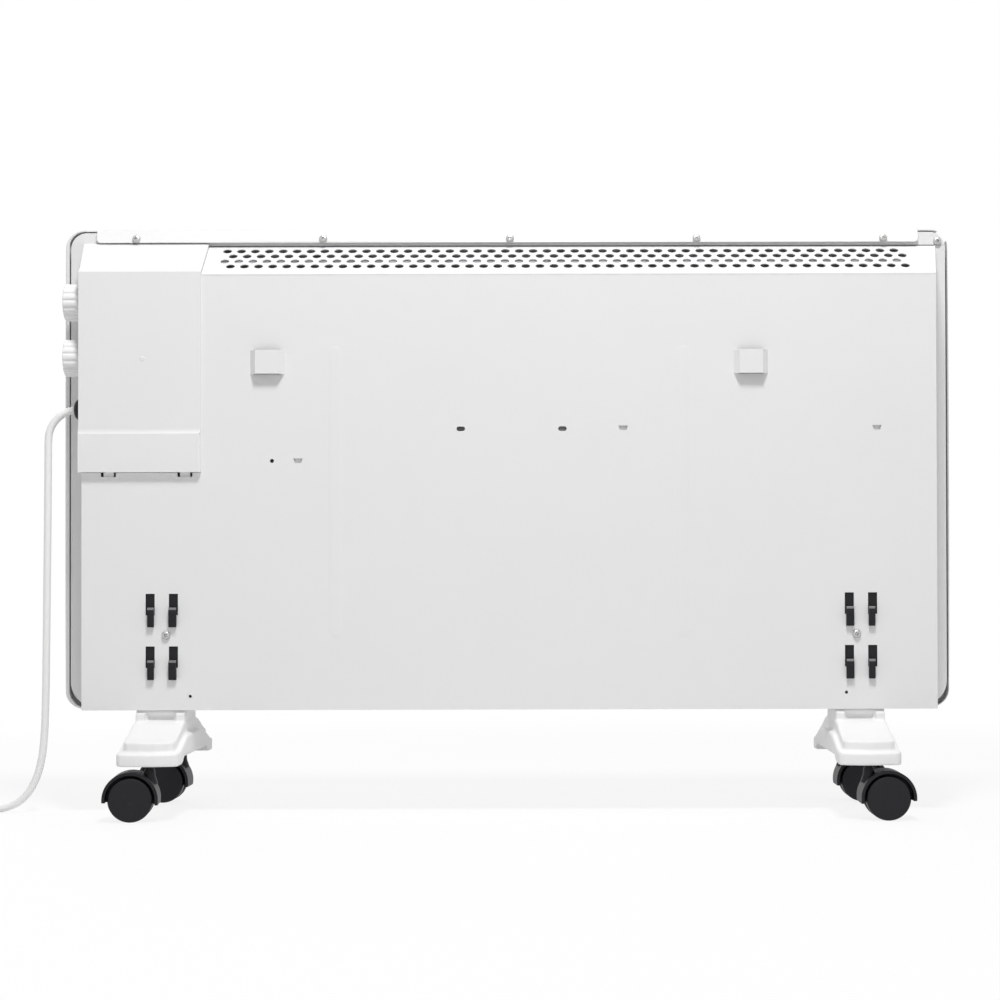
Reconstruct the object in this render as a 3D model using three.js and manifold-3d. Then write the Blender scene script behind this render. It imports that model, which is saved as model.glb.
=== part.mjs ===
// Panel convector heater on two castored feet, with its supply cord.
// Millimetres, +Z up. The front panel faces -Y, the control side is +X.
// The origin is on the floor, under the middle of the heater's box.
import * as THREE from 'three';
import { mergeVertices } from 'three/addons/utils/BufferGeometryUtils.js';
import Module from 'manifold-3d';

const wasm = await Module();
wasm.setup();

// ---- driving dimensions -------------------------------------------------
const GAP = 0.3;                 // seat clearance between neighbouring pieces
const SHEET = 1;                 // sheet metal of the case
const FRAME_SHEET = 1.2;         // sheet metal of the frame

// what it stands on: every height above follows
const WHEEL_D = 40;
const HOOD_T = 3.3;
const HOOD_ROOM = 1.3;           // between a wheel's tread and its hood
const HOOD_R = WHEEL_D / 2 + HOOD_ROOM + HOOD_T;
const HOOD_HEAD = 6.2;           // top of a hood above its wheels
const HOOD_TOP = WHEEL_D + HOOD_HEAD;
const HOOD_GAP = 2.9;            // from a hood up to the foot
const FOOT_BOTTOM = HOOD_TOP + HOOD_GAP;
const STEM_DEPTH = 14.9;         // how far a stem goes up into the foot
const STEM_TOP = FOOT_BOTTOM + STEM_DEPTH;
const FOOT_H = 43.9;             // from the foot's lower edge to the panel's

// front panel
const PANEL_Z = FOOT_BOTTOM + FOOT_H;            // lower edge above the floor
const PANEL_W = 830;
const PANEL_H = 448;
const PANEL_BOW = 1.6;           // the sides bulge this much at mid height
const PANEL_R = 18;
const PANEL_FRONT = -38;         // Y of the front face
const PANEL_DEPTH = 17;
const PANEL_SKIN = 1.2;
const PANEL_WALL = 1.1;          // top and bottom returns
const PANEL_EDGE = 1.8;          // round of the front edge
const PANEL_INNER_R = 16;        // inner corner, tighter than the frame's
const PANEL_SIDE_WALL = 3.8;     // thicker rolled side returns
const PANEL_ROLL = 2.4;          // how far the side returns roll in at the back
const JOINT = 2.1;               // dark joint between the panel and the frame's sides
const TOP_JOINT = 1.8;           // the same above the frame
const FLOOR_JOINT = 1.2;         // and below it

// case
const CASE_X = -3;               // the case sits this far off the panel's middle
const FRAME_X = -1.4;              // and the frame this far
const FLANGE_Y = -18;            // rear face of the frame flange
const REAR_Y = 32;               // rear face of the cover
const CASE_INSET = 17;            // the case's side stands this far in from the panel's
const CASE_TAPER = 7.5;
const CASE_HALF_FRONT = PANEL_W / 2 - CASE_INSET;         // half width at the flange
const CASE_HALF_REAR = CASE_HALF_FRONT - CASE_TAPER;      // half width at the rear face
const CASE_BOTTOM = PANEL_Z + 1.7;
const SLOPE_TOP = PANEL_Z + PANEL_H - 15.5;      // where the outlet slope leaves the flange
const SLOPE_DROP = 32.5;
const RIDGE = SLOPE_TOP - SLOPE_DROP;            // the ridge at the rear face
const FRAME_R_TOP = 15;
const FRAME_R_BOTTOM = 23;

// outlet grille
const HOLE_D = 8.4;
const HOLE_PITCH = 12.94;
const HOLE_END = 26;             // from the last hole at least to the sheet's right edge
const HOLE_ROWS = 4;
const ROW_FIRST = 11.1;           // first row from the slope's upper edge
const ROW_STEP = 10.85;
const ROW_SHIFT = HOLE_PITCH / 2;              // every other row is moved by half a pitch
const HOLE_START = 18.2;         // first hole of the first row, from the sheet's left edge

// top rail
const RAIL_INSET = 31.2;
const RAIL_HALF = PANEL_W / 2 - RAIL_INSET;
const RAIL_X = -0.8;
const RAIL_H = 9;
const RAIL_T = 1.5;
const RAIL_LEAN = 3.2;           // its lower edge stands this much further out
const RAIL_SCREW_Z = 2.7;        // above the rail's lower line
const RAIL_SCREW_INSET = 35;      // end screws from the rail's ends
const RAIL_SCREW_STEP = (RAIL_HALF - RAIL_SCREW_INSET) / 2;
const SCREW_D = 7.6;
const SHANK_D = 3.6;

// control box cover
const BOX_W = 111.6;
const BOX_OVERHANG = 2.6;        // past the case's side at the rear face
const BOX_X1 = CASE_X + CASE_HALF_REAR + BOX_OVERHANG;
const BOX_X0 = BOX_X1 - BOX_W;
const BOX_PROUD = 2.4;
const BOX_LIFT = 3.1;            // its slope stands this far off the outlet slope
const BOX_STEP = 2.6;            // the lower part stands out this much more
const LEDGE_TOP = RIDGE - 140.7;
const LEDGE_H = 5.8;
const LEDGE_BOTTOM = LEDGE_TOP - LEDGE_H;
const BOX_BOTTOM = RIDGE - 181.3;
const BOX_SHEET = 1.5;
const BOX_EDGE = 1.8;            // bevel along the inner side
const TAB_W = 9.4;
const TAB_H = 3.8;
const TAB_SIDE = 2.1;            // open slit on each side of a tab

// controls
const KNOB_D = 34.3;
const KNOB_INSET = 22;           // a knob's axis from the rear face
const KNOB_Y = REAR_Y - KNOB_INSET;
const KNOB_SUNK = 11;            // inside the side wall's front edge
const KNOB_LENGTH = 22.5;
const KNOB_BASE = CASE_X + CASE_HALF_FRONT - KNOB_SUNK;
const KNOB_TIP = KNOB_BASE + KNOB_LENGTH;
const KNOB_FLUTES = 15;
const THERMOSTAT_Z = RIDGE - 23.8;
const KNOB_PITCH = 51.2;
const SELECTOR_Z = THERMOSTAT_Z - KNOB_PITCH;
const KNOB_ROOM = 0.9;           // radial room round a knob in the side wall
const COVER_ROOM = 0.8;          // and at the box's end
const SHAFT_D = 6;
const GLAND_Z = SELECTOR_Z - 47.4;
const GLAND_D = 19;
const CORD_D = 6.8;
const GLAND_WALL = 3.06;         // from the cord to the hole in the side wall

// rear face details
const BRIDGE_INSET = 60.7;       // from the box's inner side
const BRIDGE_X = BOX_X0 - CASE_X - BRIDGE_INSET;
const BRIDGE_H = 21.8;
const BRIDGE_Z0 = RIDGE - 91.8;
const BRIDGE_Z1 = BRIDGE_Z0 + BRIDGE_H;
const BRIDGE_W = 31.4;
const BRIDGE_FLAT = 21;
const BRIDGE_OUT = 6.5;
const RIB_STEP = 62.1;           // from a bridge to its rib
const RIB_X = BRIDGE_X - RIB_STEP;
const RIB_W = 12;
const RIB_Z0 = PANEL_Z + 71;
const RIB_Z1 = RIDGE - 69.5;
const RIB_OUT = 0.5;

// feet and clips
const FOOT_INSET = 96;
const FOOT_X = PANEL_W / 2 - FOOT_INSET;
const FOOT_SHIFT = -3.5;         // the pair of feet sits this far off the middle
const CLIP_SHIFT = -4.7;         // and the pair of clips this far
const FOOT_LENGTH = 214;
const FOOT_W = 56;
const FOOT_UPPER_W = 46;
const FOOT_ARCH = 6;
const FOOT_BOW = 2.4;            // how far the ends of a foot bow out
const CLIP_PITCH = 21.2;
const CLIP_SLOT_W = 8.3;
const CLIP_SLOT_H = 19.6;
const CLIP_STEP = 48;
const CLIP_UPPER = PANEL_Z + 88.3;
const CLIP_LOWER = CLIP_UPPER - CLIP_STEP;
const HOOK_DROP = 10.9;
const HOOK_SHOULDER = 7.1;       // top of a hook above its slot's lower edge
const HOOK_OUTER_W = 5.8;
const HOOK_INNER_W = 7;

// casters
const CASTER_INSET = 20;         // stems from the feet's ends
const CASTER_Y = FOOT_LENGTH / 2 - CASTER_INSET;
const CASTER_TRAIL = 16;
const WHEEL_T = 11.7;
const WHEEL_SIDES = 20;
const WEB_T = 7.8;
const STEM_D = 8;
const AXLE_D = 5;

// ---- values that follow from them ---------------------------------------
const SLOPE = Math.atan2(SLOPE_TOP - RIDGE, REAR_Y - FLANGE_Y);
const SLOPE_LENGTH = Math.hypot(SLOPE_TOP - RIDGE, REAR_Y - FLANGE_Y);
const PANEL_BACK = PANEL_FRONT + PANEL_DEPTH;
const FRAME_HALF = PANEL_W / 2 - PANEL_SIDE_WALL - JOINT;
const FRAME_TOP = PANEL_Z + PANEL_H - PANEL_WALL - TOP_JOINT;
const FRAME_BOTTOM = PANEL_Z + PANEL_WALL + FLOOR_JOINT;
const FRAME_FRONT = PANEL_FRONT + PANEL_SKIN + GAP;
const AXLE_Z = (WHEEL_D / 2) * Math.cos(Math.PI / WHEEL_SIDES);
const GRILLE_LEFT = BOX_X0 - GAP;
const HOLE_X = GRILLE_LEFT - HOLE_START;
const HOLE_ROOM = HOLE_X - (CASE_X - CASE_HALF_REAR) - HOLE_END;
const HOLE_COUNT = Math.floor(HOLE_ROOM / HOLE_PITCH) + 1;
const COVER_TOP = RIDGE - SHEET / Math.cos(SLOPE) - GAP;
const RAIL_Z0 = FRAME_TOP - RAIL_H;
const RAIL_LOW = RAIL_Z0 - 0.9;
const RAIL_TOP = PANEL_Z + PANEL_H - 0.2;
const RAIL_SCREW_AT = RAIL_Z0 + RAIL_SCREW_Z;
const RAIL_ANGLE = Math.atan2(RAIL_LEAN, RAIL_TOP - RAIL_LOW);
const CASE_FLOOR = FRAME_BOTTOM + SHEET;

// ---- helpers --------------------------------------------------------------
const V2 = (x, y) => new THREE.Vector2(x, y);
const V3 = (x, y, z) => new THREE.Vector3(x, y, z);
const ALONG_X = new THREE.Matrix4().makeBasis(V3(0, 1, 0), V3(0, 0, 1), V3(1, 0, 0));
const ALONG_Y = new THREE.Matrix4().makeBasis(V3(1, 0, 0), V3(0, 0, 1), V3(0, -1, 0));

// a closed manifold from a three.js geometry, turned to face out
function solid(geometry) {
  const bare = geometry.clone();
  bare.deleteAttribute('normal');
  bare.deleteAttribute('uv');
  const merged = mergeVertices(bare, 1e-4);
  const p = merged.attributes.position.array;
  const index = Array.from(merged.index.array);
  const tri = [];
  let volume = 0;
  for (let i = 0; i < index.length; i += 3) {
    const [a, b, c] = [index[i], index[i + 1], index[i + 2]];
    if (a === b || b === c || c === a) continue;
    tri.push(a, b, c);
    const va = V3(p[3 * a], p[3 * a + 1], p[3 * a + 2]);
    const vb = V3(p[3 * b], p[3 * b + 1], p[3 * b + 2]);
    const vc = V3(p[3 * c], p[3 * c + 1], p[3 * c + 2]);
    volume += va.dot(vb.cross(vc));
  }
  if (volume < 0) tri.reverse();
  return new wasm.Manifold(new wasm.Mesh({
    numProp: 3,
    vertProperties: new Float32Array(p),
    triVerts: new Uint32Array(tri),
  }));
}

function geometryOf(body) {
  const mesh = body.getMesh();
  const geometry = new THREE.BufferGeometry();
  const points = new THREE.BufferAttribute(new Float32Array(mesh.vertProperties), 3);
  geometry.setAttribute('position', points);
  geometry.setIndex(Array.from(mesh.triVerts));
  return geometry;
}

function joined(bodies) {
  return bodies.reduce((sum, body) => sum.add(body));
}

function block(x0, x1, y0, y1, z0, z1) {
  const g = new THREE.BoxGeometry(x1 - x0, y1 - y0, z1 - z0);
  g.translate((x0 + x1) / 2, (y0 + y1) / 2, (z0 + z1) / 2);
  return solid(g);
}

function extruded(shape, depth, options = {}) {
  return new THREE.ExtrudeGeometry(shape, { depth, bevelEnabled: false, ...options });
}

// a shape drawn in (X, Z), from y0 to y1
function plateXZ(shape, y0, y1, options = {}) {
  const g = extruded(shape, y1 - y0, options);
  g.applyMatrix4(ALONG_Y);
  g.translate(0, y1, 0);
  return solid(g);
}

// a shape drawn in (Y, Z), from x0 to x1
function barYZ(shape, x0, x1, options = {}) {
  const g = extruded(shape, x1 - x0, options);
  g.applyMatrix4(ALONG_X);
  g.translate(x0, 0, 0);
  return solid(g);
}

// a shape drawn in (X, Y), from z0 to z1
function slabXY(shape, z0, z1, options = {}) {
  const g = extruded(shape, z1 - z0, options);
  g.translate(0, 0, z0);
  return solid(g);
}

function polygon(points) {
  return new THREE.Shape(points.map(([x, y]) => V2(x, y)));
}

function circle(x, y, r, sides, turn = 0) {
  const points = [];
  for (let i = 0; i < sides; i += 1) {
    const a = turn + (i * 2 * Math.PI) / sides;
    points.push([x + r * Math.cos(a), y + r * Math.sin(a)]);
  }
  return polygon(points);
}

function stadium(x, y, w, h, segments = 4) {
  const shape = new THREE.Shape();
  const r = Math.min(w, h) / 2;
  if (h > w) {
    shape.absarc(x, y + h / 2 - r, r, 0, Math.PI, false);
    shape.absarc(x, y - h / 2 + r, r, Math.PI, 2 * Math.PI, false);
  } else {
    shape.absarc(x - w / 2 + r, y, r, Math.PI / 2, 1.5 * Math.PI, false);
    shape.absarc(x + w / 2 - r, y, r, -Math.PI / 2, Math.PI / 2, false);
  }
  return new THREE.Shape(shape.getPoints(segments));
}

// a revolved body on the X, Y or Z axis; the profile is [radius, along]
function revolved(profile, sides, axis = 'z', turn = 0) {
  const points = profile.map(([r, along]) => V2(r, along));
  const g = new THREE.LatheGeometry(points, sides, turn, 2 * Math.PI);
  if (axis === 'x') g.rotateZ(-Math.PI / 2);
  if (axis === 'z') g.rotateX(Math.PI / 2);
  return solid(g);
}

function rod(radius, from, to, sides, axis = 'z') {
  return revolved([[0, from], [radius, from], [radius, to], [0, to]], sides, axis);
}

const finish = {
  paint: { color: 0xf1f1ef, roughness: 0.42, metalness: 0 },
  whitePlastic: { color: 0xf3f3f1, roughness: 0.38, metalness: 0 },
  blackPlastic: { color: 0x1b1b1d, roughness: 0.5, metalness: 0 },
  steel: { color: 0xb9bbbd, roughness: 0.35, metalness: 1 },
  zinc: { color: 0xa9adb0, roughness: 0.5, metalness: 0.9 },
  aluminium: { color: 0xc4c6c8, roughness: 0.45, metalness: 1 },
  greyPlastic: { color: 0x6f7275, roughness: 0.55, metalness: 0 },
  cord: { color: 0xeeeeec, roughness: 0.5, metalness: 0 },
  nickel: { color: 0xcfcfca, roughness: 0.22, metalness: 1 },
};

function piece(name, body, look, parent) {
  const geometry = body.isBufferGeometry ? body : geometryOf(body);
  const mesh = new THREE.Mesh(geometry, new THREE.MeshStandardMaterial(finish[look]));
  mesh.name = name;
  parent.add(mesh);
  return mesh;
}

const heater = new THREE.Group();

// ---- outlines shared by the panel and the frame ---------------------------
// a rounded rectangle in (X, Z) with its own radius at top and bottom
function outline(half, z0, z1, rTop, rBottom, bow = 0) {
  const s = new THREE.Shape();
  s.moveTo(-half + rBottom, z0);
  s.lineTo(half - rBottom, z0);
  s.absarc(half - rBottom, z0 + rBottom, rBottom, -Math.PI / 2, 0, false);
  if (bow) s.quadraticCurveTo(half + 2 * bow, (z0 + z1) / 2, half, z1 - rTop);
  s.absarc(half - rTop, z1 - rTop, rTop, 0, Math.PI / 2, false);
  s.lineTo(-half + rTop, z1);
  s.absarc(-half + rTop, z1 - rTop, rTop, Math.PI / 2, Math.PI, false);
  if (bow) s.quadraticCurveTo(-half - 2 * bow, (z0 + z1) / 2, -half, z0 + rBottom);
  s.absarc(-half + rBottom, z0 + rBottom, rBottom, Math.PI, 1.5 * Math.PI, false);
  return new THREE.Shape(s.getPoints(6));
}

// outer X of the tapered case side at a depth; side is 1 or -1
function caseX(y, side) {
  const share = (REAR_Y - y) / (REAR_Y - FLANGE_Y);
  const half = CASE_HALF_REAR + share * (CASE_HALF_FRONT - CASE_HALF_REAR);
  return CASE_X + side * half;
}

// Z of the outlet slope's outer face at a depth, raised by a normal offset
function slopeZ(y, offset = 0) {
  return RIDGE + (offset + (REAR_Y - y) * Math.sin(SLOPE)) / Math.cos(SLOPE);
}

// ---- front panel: a shallow pan with rolled side returns ------------------
function frontPanel() {
  const half = PANEL_W / 2 - PANEL_BOW;
  const shape = outline(half, PANEL_Z, PANEL_Z + PANEL_H, PANEL_R, PANEL_R, PANEL_BOW);
  const edge = PANEL_EDGE;
  const rounded = {
    bevelEnabled: true, bevelThickness: edge, bevelSize: edge, bevelOffset: -edge,
    bevelSegments: 2,
  };
  const behind = block(-PANEL_W, PANEL_W, PANEL_BACK, PANEL_BACK + 20, 0, PANEL_Z + PANEL_H + 50);
  const skin = plateXZ(shape, PANEL_FRONT + edge, PANEL_BACK + 1, rounded).subtract(behind);
  const inside = outline(
    FRAME_HALF + JOINT, PANEL_Z + PANEL_WALL, PANEL_Z + PANEL_H - PANEL_WALL,
    FRAME_R_TOP - 1, PANEL_INNER_R,
  );
  const hollow = plateXZ(inside, PANEL_FRONT + PANEL_SKIN, PANEL_BACK + 5);
  let body = skin.subtract(hollow.translate([FRAME_X, 0, 0]));
  for (const side of [-1, 1]) {
    const x = side * PANEL_W / 2;
    const roll = polygon([
      [x + side * 5, PANEL_BACK - 9],
      [x, PANEL_BACK - 6.5],
      [x - side * 0.9, PANEL_BACK - 3.4],
      [x - side * PANEL_ROLL, PANEL_BACK],
      [x - side * PANEL_ROLL, PANEL_BACK + 5],
      [x + side * 5, PANEL_BACK + 5],
    ]);
    body = body.subtract(slabXY(roll, PANEL_Z - 5, PANEL_Z + PANEL_H + 5));
  }
  return body;
}

// ---- frame: two side frames and a folded top frame ------------------------
function frameOutline(inset) {
  return outline(
    FRAME_HALF - inset, FRAME_BOTTOM + inset, FRAME_TOP - inset,
    FRAME_R_TOP - inset, FRAME_R_BOTTOM - inset,
  );
}

// flange and forward lip of the frame, cut to a window of it
function frameRim(window) {
  const tray = plateXZ(frameOutline(0), FRAME_FRONT, FLANGE_Y);
  const hollow = plateXZ(frameOutline(FRAME_SHEET), FRAME_FRONT - 1, FLANGE_Y - FRAME_SHEET);
  return tray.subtract(hollow).translate([FRAME_X, 0, 0]).intersect(window);
}

// the tapered side wall of the case, whose top follows the slope
function caseWall(side) {
  const y1 = REAR_Y - SHEET - GAP;
  const t = side * FRAME_SHEET;
  const plan = polygon([
    [caseX(FLANGE_Y, side), FLANGE_Y - FRAME_SHEET],
    [caseX(y1, side), y1],
    [caseX(y1, side) - t, y1],
    [caseX(FLANGE_Y, side) - t, FLANGE_Y - FRAME_SHEET],
  ]);
  const wall = slabXY(plan, FRAME_BOTTOM, RIM_SEAM - GAP);
  const under = side < 0 ? -SHEET - GAP : 0;      // the outlet sheet lies over the right wall
  const above = polygon([
    [FLANGE_Y - 20, slopeZ(FLANGE_Y - 20, under)],
    [REAR_Y + 20, slopeZ(REAR_Y + 20, under)],
    [REAR_Y + 20, SLOPE_TOP + 60],
    [FLANGE_Y - 20, SLOPE_TOP + 60],
  ]);
  return wall.subtract(barYZ(above, -PANEL_W, PANEL_W));
}

const RIM_SEAM = SLOPE_TOP + GAP;      // where the top frame meets the right side frame
const CORNER_SEAM = RAIL_X + RAIL_HALF - 2;     // where it meets the left one, under the rail
const CORNER_SCREW = [FRAME_X - FRAME_HALF + 7.4, FRAME_TOP - 8.9];

function sideFrameLeft() {
  const inner = caseX(FLANGE_Y, 1) - FRAME_SHEET;
  const window = joined([
    block(inner, PANEL_W, -60, 60, 0, RIM_SEAM),
    block(CORNER_SEAM, PANEL_W, -60, 60, RIM_SEAM - 1, PANEL_Z + PANEL_H),
  ]);
  let body = frameRim(window).add(caseWall(1));
  for (const z of [THERMOSTAT_Z, SELECTOR_Z]) {
    const room = circle(KNOB_Y, z, KNOB_D / 2 + KNOB_ROOM, 24);
    body = body.subtract(barYZ(room, inner - 30, caseX(FLANGE_Y, 1) + 1));
  }
  const neck = circle(KNOB_Y, GLAND_Z, CORD_D / 2 + GLAND_WALL, 16);
  return body.subtract(barYZ(neck, inner - 30, caseX(FLANGE_Y, 1) + 1));
}

function sideFrameRight() {
  const inner = caseX(FLANGE_Y, -1) + FRAME_SHEET;
  const window = block(-PANEL_W, inner, -60, 60, 0, RIM_SEAM - GAP);
  return frameRim(window).add(caseWall(-1));
}

function topFrame() {
  const window = block(-PANEL_W, CORNER_SEAM - GAP, -60, 60, RIM_SEAM, PANEL_Z + PANEL_H);
  return frameRim(window).subtract(screwHole(CORNER_SCREW[0], CORNER_SCREW[1]));
}

// ---- rear cover: a folded sheet with lanced bridges, ribs and slots -------
function bridge(x) {
  const w = BRIDGE_W / 2;
  const f = BRIDGE_FLAT / 2;
  const t = SHEET * 1.2;
  const hat = polygon([
    [x - w, REAR_Y - SHEET], [x - w, REAR_Y], [x - f, REAR_Y + BRIDGE_OUT],
    [x + f, REAR_Y + BRIDGE_OUT], [x + w, REAR_Y], [x + w, REAR_Y - SHEET],
    [x + w - 1.7, REAR_Y - SHEET], [x + f - 0.6, REAR_Y + BRIDGE_OUT - t],
    [x - f + 0.6, REAR_Y + BRIDGE_OUT - t], [x - w + 1.7, REAR_Y - SHEET],
  ]);
  return slabXY(hat, BRIDGE_Z0, BRIDGE_Z1);
}

function clipColumns(side) {
  const centre = CLIP_SHIFT + side * FOOT_X;
  return [centre - CLIP_PITCH / 2, centre + CLIP_PITCH / 2];
}

function rearCover() {
  const notchX = BOX_X0 - GAP;
  const notchZ = BOX_BOTTOM - GAP;
  const left = caseX(REAR_Y, 1);
  const right = caseX(REAR_Y, -1);
  const tab = TAB_W / 2 + TAB_SIDE;
  const notch = (x) => [
    [x + tab, notchZ], [x + tab, notchZ - TAB_H], [x - tab, notchZ - TAB_H], [x - tab, notchZ],
  ];
  const sheet = polygon([
    [right, CASE_BOTTOM], [left, CASE_BOTTOM], [left, notchZ],
    ...notch(TAB_X[0]), ...notch(TAB_X[1]),
    [notchX, notchZ], [notchX, COVER_TOP], [right, COVER_TOP],
  ]);
  const holes = [];
  for (const side of [-1, 1]) {
    const b = CASE_X + side * BRIDGE_X;
    const w = BRIDGE_W / 2 - 1.7;
    holes.push(polygon([
      [b - w, BRIDGE_Z0], [b + w, BRIDGE_Z0], [b + w, BRIDGE_Z1], [b - w, BRIDGE_Z1],
    ]));
    for (const x of clipColumns(side)) {
      for (const z of [CLIP_UPPER, CLIP_LOWER]) {
        const h = CLIP_SLOT_W / 2;
        holes.push(polygon([
          [x - h, z], [x + h, z], [x + h, z + CLIP_SLOT_H], [x - h, z + CLIP_SLOT_H],
        ]));
      }
    }
    holes.push(circle(clipScrewX(side), CLIP_SCREW_Z, SHANK_D / 2 + GAP, 8));
  }
  holes.push(stadium(41.3, SLOT_Z, 7.8, 4.2, 3), stadium(-51.5, SLOT_Z, 7.8, 4.2, 3));
  holes.push(circle(BOX_X0 - 64.8, SLOT_Z - 29, 1.9, 8), circle(FOOT_X - 30.7, PANEL_Z + 14.4, 1.5, 8));
  holes.push(circle(8.8 - FOOT_X, PANEL_Z + 16.9, 1.5, 8));
  for (const [x, z] of HALF_TABS) {
    holes.push(polygon([[x - 2.7, z - 2.2], [x + 2.7, z - 2.2], [x + 4.2, z + 2.2], [x - 4.2, z + 2.2]]));
  }
  const cutters = holes.map((hole) => plateXZ(hole, REAR_Y - SHEET - 1, REAR_Y + 1));
  let body = plateXZ(sheet, REAR_Y - SHEET, REAR_Y).subtract(wasm.Manifold.union(cutters));
  for (const side of [-1, 1]) {
    body = body.add(bridge(CASE_X + side * BRIDGE_X));
    const slant = 3.4;
    const rib = stadium(
      CASE_X + side * RIB_X, (RIB_Z0 + RIB_Z1) / 2, RIB_W - 2 * slant, RIB_Z1 - RIB_Z0, 5,
    );
    const raised = plateXZ(rib, REAR_Y - 0.4, REAR_Y + 0.1, {
      bevelEnabled: true, bevelThickness: RIB_OUT - 0.1, bevelSize: slant,
      bevelOffset: 0, bevelSegments: 1,
    });
    const back = block(-PANEL_W, PANEL_W, REAR_Y - 5, REAR_Y - 0.3, 0, 600);
    body = body.add(raised.subtract(back));
  }
  for (const [x, z] of HALF_TABS) {
    const root = block(x - 4, x + 4, REAR_Y - SHEET - 2, REAR_Y - SHEET + 0.2, z - 3.6, z - 2.2);
    const leaf = block(x - 4, x + 4, REAR_Y - SHEET - 2, REAR_Y - SHEET - 1.2, z - 3, z + 3.4);
    body = body.add(root).add(leaf);
  }
  return body;
}

const SLOT_Z = RIDGE - 142;            // the two oblong holes
const HALF_TABS = [                    // tongues pressed inwards
  [-107, SLOT_Z + 0.6], [CASE_X - CASE_HALF_REAR + 54.5, SLOT_Z + 0.6], [BOX_X0 - 88.6, SLOT_Z - 29],
];

const TAB_X = [BOX_X0 + 84.5, BOX_X0 + 14.7];
const CLIP_SCREW_Z = CLIP_UPPER - 18.3;
function clipScrewX(side) {
  return CLIP_SHIFT + side * (FOOT_X - 4);
}

// ---- outlet grille: four staggered rows of round holes in the slope -------
function outletGrille() {
  const from = SHEET * Math.tan(SLOPE) + GAP;      // clear of the flange's plane
  const end = SLOPE_LENGTH + 2;
  const sheet = polygon([
    [caseX(FLANGE_Y, -1), from], [GRILLE_LEFT, from],
    [GRILLE_LEFT, end], [caseX(REAR_Y, -1), end],
  ]);
  const cutters = [];
  for (let row = 0; row < HOLE_ROWS; row += 1) {
    const v = ROW_FIRST + row * ROW_STEP;
    const start = HOLE_X - (row % 2) * ROW_SHIFT;
    for (let i = 0; i < HOLE_COUNT; i += 1) {
      const x = start - i * HOLE_PITCH;
      cutters.push(slabXY(circle(x, v, HOLE_D / 2, 8, Math.PI / 8), -SHEET - 1, 1));
    }
  }
  const beyond = block(-PANEL_W, PANEL_W, REAR_Y, REAR_Y + 20, RIDGE - 60, RIDGE + 60)
    .translate([0, -FLANGE_Y, -SLOPE_TOP]).rotate([(SLOPE * 180) / Math.PI, 0, 0]);
  return slabXY(sheet, -SHEET, 0).subtract(wasm.Manifold.union(cutters)).subtract(beyond);
}

// ---- inlet grille: the case bottom, slotted for the air -------------------
function inletGrille() {
  const inner = (y, side) => caseX(y, side) - side * (FRAME_SHEET + 2 * GAP);
  const back = REAR_Y - SHEET - GAP;
  const front = FLANGE_Y - FRAME_SHEET - GAP;
  const sheet = polygon([
    [inner(front, -1), front], [inner(front, 1), front],
    [inner(back, 1), back], [inner(back, -1), back],
  ]);
  const holes = [];
  for (const side of [-1, 1]) {
    const x = FOOT_SHIFT + side * FOOT_X;
    const w = TONGUE_W / 2 + 0.6;
    holes.push(polygon([
      [x - w, TONGUE_Y0 - 0.5], [x + w, TONGUE_Y0 - 0.5],
      [x + w, TONGUE_Y1 + 0.5], [x - w, TONGUE_Y1 + 0.5],
    ]));
  }
  const step = 26;
  const w = 10;
  const last = Math.floor((FOOT_X - 80) / step);
  for (let i = -last; i <= last; i += 1) {
    const x = CASE_X + i * step;
    for (const y of [-10, 4]) {
      holes.push(polygon([[x - w, y - 3], [x + w, y - 3], [x + w, y + 3], [x - w, y + 3]]));
    }
  }
  const cutters = holes.map((hole) => slabXY(hole, FRAME_BOTTOM - 1, CASE_FLOOR + 1));
  const floor = slabXY(sheet, FRAME_BOTTOM, CASE_FLOOR).subtract(wasm.Manifold.union(cutters));
  const apronHalf = FRAME_HALF - FRAME_R_BOTTOM - 1;
  const apron = block(
    -apronHalf, apronHalf, FRAME_FRONT, front + SHEET, FRAME_BOTTOM, CASE_FLOOR,
  );
  const seal = block(-FRAME_HALF + 30, FRAME_HALF - 30, front, front + SHEET, FRAME_BOTTOM, PANEL_Z + 17);
  return joined([floor, apron, seal]);
}

// ---- top rail and its screws ----------------------------------------------
function topRail() {
  const s = new THREE.Shape();
  const r = 4;
  s.moveTo(-RAIL_HALF, RAIL_TOP);
  s.lineTo(-RAIL_HALF, RAIL_LOW + r);
  s.absarc(-RAIL_HALF + r, RAIL_LOW + r, r, Math.PI, 1.5 * Math.PI, false);
  s.absarc(RAIL_HALF - r, RAIL_LOW + r, r, 1.5 * Math.PI, 2 * Math.PI, false);
  s.lineTo(RAIL_HALF, RAIL_TOP);
  const face = new THREE.Shape(s.getPoints(4));
  const y = FLANGE_Y + GAP;
  const section = polygon([
    [y, RAIL_TOP], [y + RAIL_LEAN, RAIL_LOW], [y + RAIL_LEAN + RAIL_T, RAIL_LOW], [y + RAIL_T, RAIL_TOP],
  ]);
  const window = plateXZ(face, FLANGE_Y - 10, FLANGE_Y + 20);
  let body = barYZ(section, -RAIL_HALF - 1, RAIL_HALF + 1).intersect(window).translate([RAIL_X, 0, 0]);
  for (let i = -2; i <= 2; i += 1) {
    const hole = circle(CASE_X + i * RAIL_SCREW_STEP, RAIL_SCREW_AT, SHANK_D / 2 + 0.7, 8);
    body = body.subtract(plateXZ(hole, FLANGE_Y - 5, FLANGE_Y + 15));
  }
  return body;
}

// clearance hole for a screw's shank, through everything at the flange
function screwHole(x, z) {
  return plateXZ(circle(x, z, SHANK_D / 2 + GAP, 8), FLANGE_Y - 5, FLANGE_Y + 5);
}

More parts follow.
